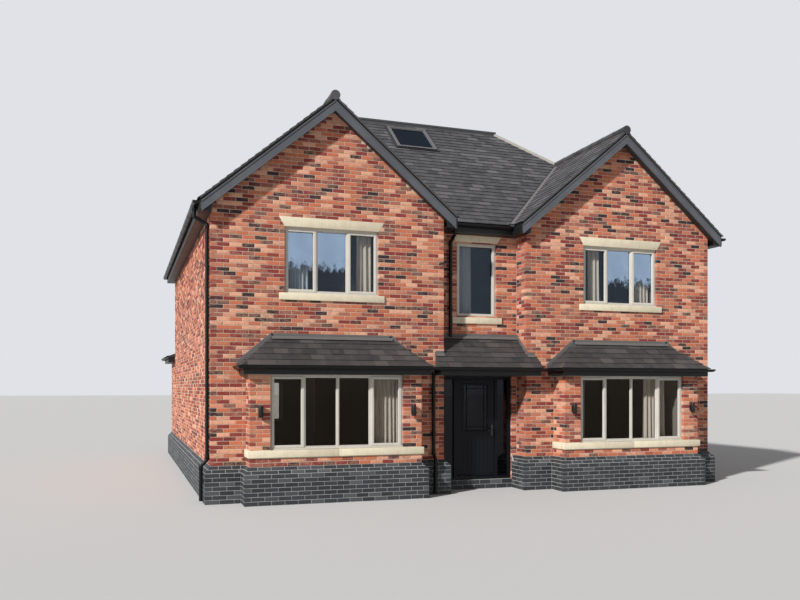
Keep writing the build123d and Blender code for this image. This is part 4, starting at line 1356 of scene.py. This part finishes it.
# Boards, gutters and downpipes
# Grey barge boards and near-black fascias and soffits, made of plastic board. The half-round gutters
# hang in clips and join in unions, and round pipes in sockets and collars take the water down.
grey_colour = (0.086, 0.091, 0.102, 1)
dark_colour = (0.008, 0.0085, 0.0095, 1)
barge_proud = 0.006
barge_drop = 0.06
barge_beads = (("top", 0.017), ("foot", 0.187))
barge_bead_width = 0.022
barge_bead_height = 0.014
gutter_radius = 0.056
clip_spacing = 0.9
union_spacing = 3.6
union_shift = 0.09
clip_width = 0.028
union_width = 0.075
clip_wall = 0.004
shell_edge = 0.002
side_bands = (4.3, 2.6, 1.2)
wing_bands = (2.0, 1.2)
recess_bands = (4.4, 3.7)
foot_band = 0.4
kick_socket = 0.035
foot_socket = 0.045
neck_socket = 0.04
outlet_drop = 0.03
pipe_radius = 0.034
pipe_off = 0.049
kick_top = plinth_top + 0.11
neck_foot = main_soffit + board - 0.2


def board_finish(name, colour):
    """Plastic board with a fine embossed grain and light weathering."""
    material, place = new_finish(name)
    emboss = place.stretched(30, 30, 30).noise(12, 4, 0.7)
    cloud = place.noise(2.2, 4, 0.6)
    dusty = toned(colour, 1.5, 0.004)
    return coat(material, base_color=(cloud.between(0.4, 0.75) * 0.5).mix(colour, dusty),
                roughness=cloud * 0.15 + 0.36, specular_ior_level=0.3,
                normal=place.dented(emboss * 0.0002))


grey_board = board_finish("grey_board", grey_colour)
set_finish(grey_board, "barge_boards")
set_finish(board_finish("dark_board", dark_colour), "eaves_boards", "bay_eaves", "canopy_eaves",
           "extension_eaves")
set_finish(black_finish, "roof_gutters", "low_gutters", "downpipes")
for side, hand in sides:
    axis_x = side * wing_axis
    for number, foot_x in enumerate((side * (outer_eave - board), side * (inner_eave + board))):
        foot = Vector((foot_x, gable_y - board - barge_proud, eave - barge_drop + board * roof_rise))
        apex = Vector((axis_x, foot.y, foot.z + abs(axis_x - foot_x) * roof_rise))
        across = (apex - foot).normalized().cross(backward)
        past = (apex - foot) * rake_overrun
        for name, drop in barge_beads:
            fall = upright * -drop
            bar(f"{hand}_barge_bead_{name}_{number + 1}", foot - past + fall, apex + past + fall, across,
                barge_bead_width, barge_bead_height, grey_board,
                rake_ends(foot_x, axis_x), 0.004)


def half_shell(name, width, wall):
    """Half a ring that holds a gutter from below, its axis along X."""
    shell = cylinder(name, gutter_radius, width, lying=True, ends="NOTHING")
    edit(shell, faces=everything)
    bpy.ops.mesh.bisect(plane_co=(0, 0, shell_edge), plane_no=upright, clear_outer=True)
    bpy.ops.object.mode_set(mode="OBJECT")
    thicken(shell, wall, 1)
    return shell


def half_disc(name, radius, width):
    """A stop end: half a disc, its axis along X."""
    disc = cylinder(name, radius, width, lying=True)
    trim(disc, [(upright * shell_edge, upright)])
    return ease(disc, lambda middle, run: abs(middle.x) > width / 2 - 1e-5, 0.001)


def gutter_parts(name, unit, start, end, places):
    """Fittings on one line of gutter, turned the way that it runs."""
    along = (end - start).normalized()
    return copies(name, unit, (along, upright.cross(along), upright),
                  [(place, 0, plain_tone) for place in places])


main_gutter, recess_gutter = solids("roof_gutters")[:2]
line_x = main_gutter[1].x - gutter_radius
line_y = main_gutter[1].y - gutter_radius
main_y = main_gutter[0].y
middle_y = (recess_gutter[0].y + recess_gutter[1].y) / 2
recess_ends = [corner.x for corner in recess_gutter]
plan_lines = [((-line_x, main_y), (-line_x, line_y)), ((line_x, main_y), (line_x, line_y)),
              ((-line_x, line_y), (line_x, line_y)),
              ((recess_ends[0], middle_y), (recess_ends[1], middle_y))]
top = main_gutter[1].z
gutter_lines = [(Vector((*start, top)), Vector((*end, top))) for start, end in plan_lines]
stops = [(Vector((sign * line_x, main_y, top)), backward) for sign in (-1, 1)]
stops += [(Vector((x, middle_y, top)), right_way) for x in recess_ends]
for low, high in solids("low_gutters"):
    front_y, wall_y = low.y + gutter_radius, high.y
    if low.y > 0:
        front_y, wall_y = high.y - gutter_radius, low.y
    left_x, right_x = low.x + gutter_radius, high.x - gutter_radius
    gutter_lines.append((Vector((left_x, front_y, high.z)), Vector((right_x, front_y, high.z))))
    for x in (left_x, right_x):
        gutter_lines.append((Vector((x, wall_y, high.z)), Vector((x, front_y, high.z))))
clip_unit = half_shell("clip_unit", clip_width, clip_wall)
union_unit = half_shell("union_unit", union_width, clip_wall * 0.8)
stop_unit = half_disc("stop_unit", gutter_radius + 0.003, clip_wall)
for number, (start, end) in enumerate(gutter_lines):
    run = end - start
    for name, unit, spacing, least, shift in (("clips", clip_unit, clip_spacing, 1, 0),
                                              ("unions", union_unit, union_spacing, 0, union_shift)):
        count = max(least, round(run.length / spacing))
        places = [start + run * (step + 0.5) / count + run.normalized() * shift for step in range(count)]
        if places:
            fittings = gutter_parts(f"gutter_{name}_{number + 1}", unit, start, end, places)
            done(smooth(fittings), black_finish)
for number, (place, along) in enumerate(stops):
    stop_end = gutter_parts(f"gutter_stop_{number + 1}", stop_unit, place, place + along, [place])
    done(stop_end, black_finish)


def collar_unit(name, radius, height, lip=0.0):
    """A short sleeve round a pipe, with a rolled lip at its top."""
    sleeve = cylinder(name, radius, height)
    if lip:
        edit(sleeve, faces=lambda middle, normal: abs(normal.z) < 0.5)
        bpy.ops.mesh.bisect(plane_co=(0, 0, height / 2 - lip), plane_no=upright)
        edit(sleeve, faces=lambda middle, normal: middle.z > height / 2 - lip - 1e-4
             and abs(normal.z) < 0.5)
        bpy.ops.mesh.extrude_region_shrink_fatten(TRANSFORM_OT_shrink_fatten={"value": 0.003})
    return ease(sleeve, lambda middle, run: abs(middle.z) > height / 2 - 1e-5, 0.002, 2)


left_pipe, wing_pipe, recess_pipe, right_pipe = solids("downpipes")
bands, sockets, outlets = [], [], []


def kicked_pipe(axis, kick, heights):
    """The bands and sockets of a pipe that steps out over the plinth by a kick."""
    foot = axis + kick
    bands.extend([axis + upright * height for height in heights] + [foot + upright * foot_band])
    sockets.extend([axis + upright * (kick_top + kick_socket),
                    foot + upright * (plinth_top - foot_socket)])


for (low, high), sign, wall_x in ((left_pipe, -1, left_pipe[1].x), (right_pipe, 1, right_pipe[0].x)):
    y = (low.y + high.y) / 2
    axis = Vector((wall_x + sign * pipe_off, y, 0))
    kicked_pipe(axis, right_way * sign * projection, side_bands)
    sockets.append(axis + upright * (neck_foot - neck_socket))
    outlets.append(Vector((sign * line_x, y, high.z - outlet_drop)))
axis = Vector(((wing_pipe[0].x + wing_pipe[1].x) / 2, wing_face - pipe_off, 0))
kicked_pipe(axis, backward * -projection, wing_bands)
outlets.append(axis + upright * (wing_pipe[1].z - outlet_drop))
axis = Vector(((recess_pipe[0].x + recess_pipe[1].x) / 2, recess_face - pipe_off, 0))
bands += [axis + upright * height for height in recess_bands]
sockets.append(axis + upright * (neck_foot - neck_socket))
outlets.append(Vector((axis.x, middle_y, recess_pipe[1].z - outlet_drop)))
upright_axes = (right_way, backward, upright)
for name, unit, centres in (
        ("pipe_bands", collar_unit("band_unit", pipe_radius + 0.004, 0.032), bands),
        ("pipe_sockets", collar_unit("socket_unit", pipe_radius + 0.006, 0.070, 0.012), sockets),
        ("gutter_outlets", collar_unit("outlet_unit", pipe_radius + 0.010, 0.075, 0.015), outlets)):
    fittings = copies(name, unit, upright_axes, [(centre, 0, plain_tone) for centre in centres])
    done(smooth(fittings), black_finish)

# Front door and its screen
# A near-black painted timber door with a glazed upper light and boarded lower half, hung in a screen
# with a narrow light on each side. The glazing bars and beads are planted on the leaf.
door_colour = (0.0045, 0.0052, 0.0075, 1)
handle_colour = (0.03, 0.03, 0.032, 1)
bead = 0.030
bead_proud = 0.007
inner_bead = 0.014
bead_lap = 0.002
glazing_bar = 0.020
margin = 0.080
drip_height = 0.035
drip_proud = 0.016


def paint_finish():
    """Satin paint over timber, with the grain showing through faintly."""
    material, place = new_finish("door_paint")
    grain = place.stretched(60, 60, 2.5).noise(3.0, 5, 0.65)
    cloud = place.noise(4, 3)
    lighter = toned(door_colour, 1.8, 0.001)
    return coat(material, base_color=(grain.between(0.35, 0.75) * 0.6).mix(door_colour, lighter),
                roughness=cloud * 0.12 + 0.34, specular_ior_level=0.15,
                normal=place.dented(grain * 0.0006))


door_paint = paint_finish()
set_finish(door_paint, "front_door", "door_screen")
set_finish(plain_finish("handle_metal", handle_colour, 0.3, 0.0001), "door_handles")
leaf_low, leaf_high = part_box("front_door")
light_low, light_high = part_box("door_glass")
leaf_face = leaf_low.y
glass_face = light_low.y
half_bar = glazing_bar / 2


def on_door(piece):
    done(piece, door_paint, body="front_door")


def round_light(name, grow, front_y, back_y, rail, arris):
    """A bead round the light of the door."""
    on_door(rail_frame(name, (light_low.x - grow, front_y, light_low.z - grow),
                       (light_high.x + grow, back_y, light_high.z + grow), rail, arris))


round_light("door_light_bead", bead, leaf_face - bead_proud, leaf_face + 0.004, bead, 0.005)
round_light("door_light_inner_bead", bead_lap, leaf_face + 0.001, glass_face, inner_bead, 0.004)
for number, sign in enumerate((1, -1)):
    x, z = ((light_low if sign == 1 else light_high)[axis] + sign * margin for axis in (0, 2))
    on_door(slab_piece(f"door_upright_bar_{number + 1}",
                       (x - half_bar, leaf_face + 0.001, light_low.z + 0.008),
                       (x + half_bar, glass_face, light_high.z - 0.008), 0.004))
    on_door(slab_piece(f"door_cross_bar_{number + 1}",
                       (light_low.x + 0.008, leaf_face + 0.002, z - half_bar),
                       (light_high.x - 0.008, glass_face, z + half_bar), 0.004))
drip_z = leaf_low.z + 0.02
on_door(slab_piece("door_drip_bar", (leaf_low.x + 0.03, leaf_face - drip_proud, drip_z),
                   (leaf_high.x - 0.03, leaf_face + 0.004, drip_z + drip_height), 0.010))
sidelights = [box for box in solids("front_window_glass") if box[0].z < 0.5]
for number, (low, high) in enumerate(sidelights):
    done(rail_frame(f"sidelight_bead_{number + 1}", (low.x - bead_lap, low.y - 0.022, low.z - bead_lap),
                    (high.x + bead_lap, low.y, high.z + bead_lap), inner_bead), door_paint)

# Wall lamps
# Black metal cylinders that light the wall upwards and downwards, each with a lens at both ends, held
# off the brickwork by an arm on a small plate.
lamp_colour = (0.011, 0.011, 0.012, 1)
lens_colour = (0.55, 0.55, 0.52, 1)
lamp_rim = 0.006
lamp_recess = 0.010
lens_thickness = 0.004
lamp_finish = plain_finish("lamp_metal", lamp_colour, 0.38, 0.0003, 300, 0.25)
lens_finish = plain_finish("lamp_lens", lens_colour, 0.25, 0.0002)
lamp_boxes = solids("wall_lamps")
lamp_low, lamp_high = lamp_boxes[0]
lamp_radius = (lamp_high.x - lamp_low.x) / 2
lamp_length = lamp_high.z - lamp_low.z
lamp_unit = cylinder("lamp_unit", lamp_radius, lamp_length, 32)
edit(lamp_unit, faces=lambda middle, normal: abs(normal.z) > 0.9)
bpy.ops.mesh.inset(thickness=lamp_rim, use_individual=True)
bpy.ops.mesh.extrude_region_shrink_fatten(TRANSFORM_OT_shrink_fatten={"value": -lamp_recess})
ease(lamp_unit, lambda middle, run: abs(middle.z) > lamp_length / 2 - 1e-5
     and Vector((middle.x, middle.y)).length > lamp_radius - 0.002, 0.0015, 2)
lens_unit = cylinder("lens_unit", lamp_radius - lamp_rim, lens_thickness, 32)
ease(lens_unit, lambda middle, run: abs(run.z) < 1e-6, 0.001)
arm_unit = slab_piece("arm_unit", (-0.016, 0, -0.022), (0.016, 0.07, 0.022), 0.002)
plate_unit = slab_piece("plate_unit", (-0.032, -0.010, -0.060), (0.032, 0.004, 0.060), 0.003)
lamps = [Vector(((low.x + high.x) / 2, low.y + lamp_radius, (low.z + high.z) / 2))
         for low, high in lamp_boxes]
lens_lift = upright * (lamp_length / 2 - lamp_recess + lens_thickness / 2)
arm_back = backward * (lamp_radius - 0.002)
plate_y = lamp_high.y - brick_proud
for name, unit, finish, centres in (
        ("lamp_bodies", lamp_unit, lamp_finish, lamps),
        ("lamp_lenses", lens_unit, lens_finish,
         [lamp + sign * lens_lift for lamp in lamps for sign in (-1, 1)]),
        ("lamp_arms", arm_unit, lamp_finish, [lamp + arm_back for lamp in lamps]),
        ("lamp_plates", plate_unit, lamp_finish, [Vector((lamp.x, plate_y, lamp.z)) for lamp in lamps])):
    row = copies(name, unit, upright_axes, [(centre, 0, plain_tone) for centre in centres])
    done(smooth(row), finish, ["wall_lamps"])

# Floors and the underside of the roof
# A power-floated concrete ground floor, boarded upper floors and dark roofing felt under the tiles, as
# seen through the windows and the open door.
concrete_colour = (0.42, 0.41, 0.39, 1)
deck_colour = (0.44, 0.32, 0.20, 1)
deck_deep = (0.25, 0.17, 0.10, 1)
deck_gap = (0.03, 0.02, 0.015, 1)
deck_board = 0.14
felt_colour = (0.050, 0.048, 0.047, 1)


def deck_finish():
    """Boards with their grain along the house, each in its own shade."""
    material, place = new_finish("floor_deck")
    row = place.part("Y") / deck_board
    tone = (row - row.fraction()) * 0.37
    grain = place.stretched(1.2, 22, 22).noise(2.5, 5, 0.65)
    gap = row.fraction() > 0.975
    wood = (grain * 0.6 + tone.fraction() * 0.35).mix(deck_colour, deck_deep)
    return coat(material, base_color=gap.mix(wood, deck_gap), roughness=grain * 0.2 + 0.5,
                normal=place.dented(grain * 0.0004 - gap * 0.001))


set_finish(deck_finish(), "first_floor", "loft_floor")
set_finish(plain_finish("concrete", concrete_colour, 0.7, 0.0006, 80), "ground_floor")
set_finish(plain_finish("roofing_felt", felt_colour, 0.9, 0.0008, 90), "front_roof_slope",
           "left_roof_slope", "right_roof_slope", "rear_roof_slope", "left_wing_roof", "right_wing_roof",
           "bay_roofs", "canopy_roof", "extension_roof")

# Studio
# A plain pale floor, a soft key light high on the left in front, and an even pale surround.
floor_colour = (0.60, 0.59, 0.575, 1)
surround_colour = (0.93, 0.95, 1.0, 1)
fill = 0.24
backdrop = 0.80
key_strength = 4.5
key_angle = math.radians(2.5)
key_direction = Vector((0.726, 0.454, -0.517))
camera_place = (-6.925, -20.715, 2.1)
camera_turn = math.radians(18.96)
deselect()
bpy.ops.mesh.primitive_plane_add(size=400, location=(0, 0, 0))
floor = bpy.context.object
floor.name = "studio_floor"
floor_finish = new_finish("studio_floor")[0]
floor.data.materials.append(coat(floor_finish, base_color=floor_colour, roughness=0.9))

world = bpy.data.worlds.new("studio")
world.use_nodes = True
surround = world.node_tree.nodes["Background"]
surround.inputs["Color"].default_value = surround_colour
rays = Pattern(world.node_tree.nodes.new("ShaderNodeLightPath").outputs["Is Camera Ray"])
seen = rays.maths("MAXIMUM", rays, rays.node("LightPath", {}, output="Is Glossy Ray"))
world.node_tree.links.new((seen * (backdrop - fill) + fill).socket, surround.inputs["Strength"])
bpy.context.scene.world = world
bpy.ops.object.light_add(type="SUN")
key = bpy.context.object
key.name = "key_light"
key.data.energy = key_strength
key.data.angle = key_angle
key.rotation_mode = "QUATERNION"
key.rotation_quaternion = key_direction.to_track_quat("-Z", "Y")

camera = bpy.data.objects.new("camera", bpy.data.cameras.new("camera"))
bpy.context.scene.collection.objects.link(camera)
camera.location = camera_place
camera.rotation_euler = (math.radians(90), 0, -camera_turn)
camera.data.sensor_width = 36
camera.data.lens = 36.5
camera.data.shift_x = -0.0013
camera.data.shift_y = 0.109
camera.data.clip_end = 500
bpy.context.scene.camera = camera
bpy.context.scene.view_settings.view_transform = "Standard"

# The modelled units that the copies were made from aren't part of the house.
for unit in [piece for piece in bpy.data.objects if "_unit" in piece.name]:
    bpy.data.objects.remove(unit)
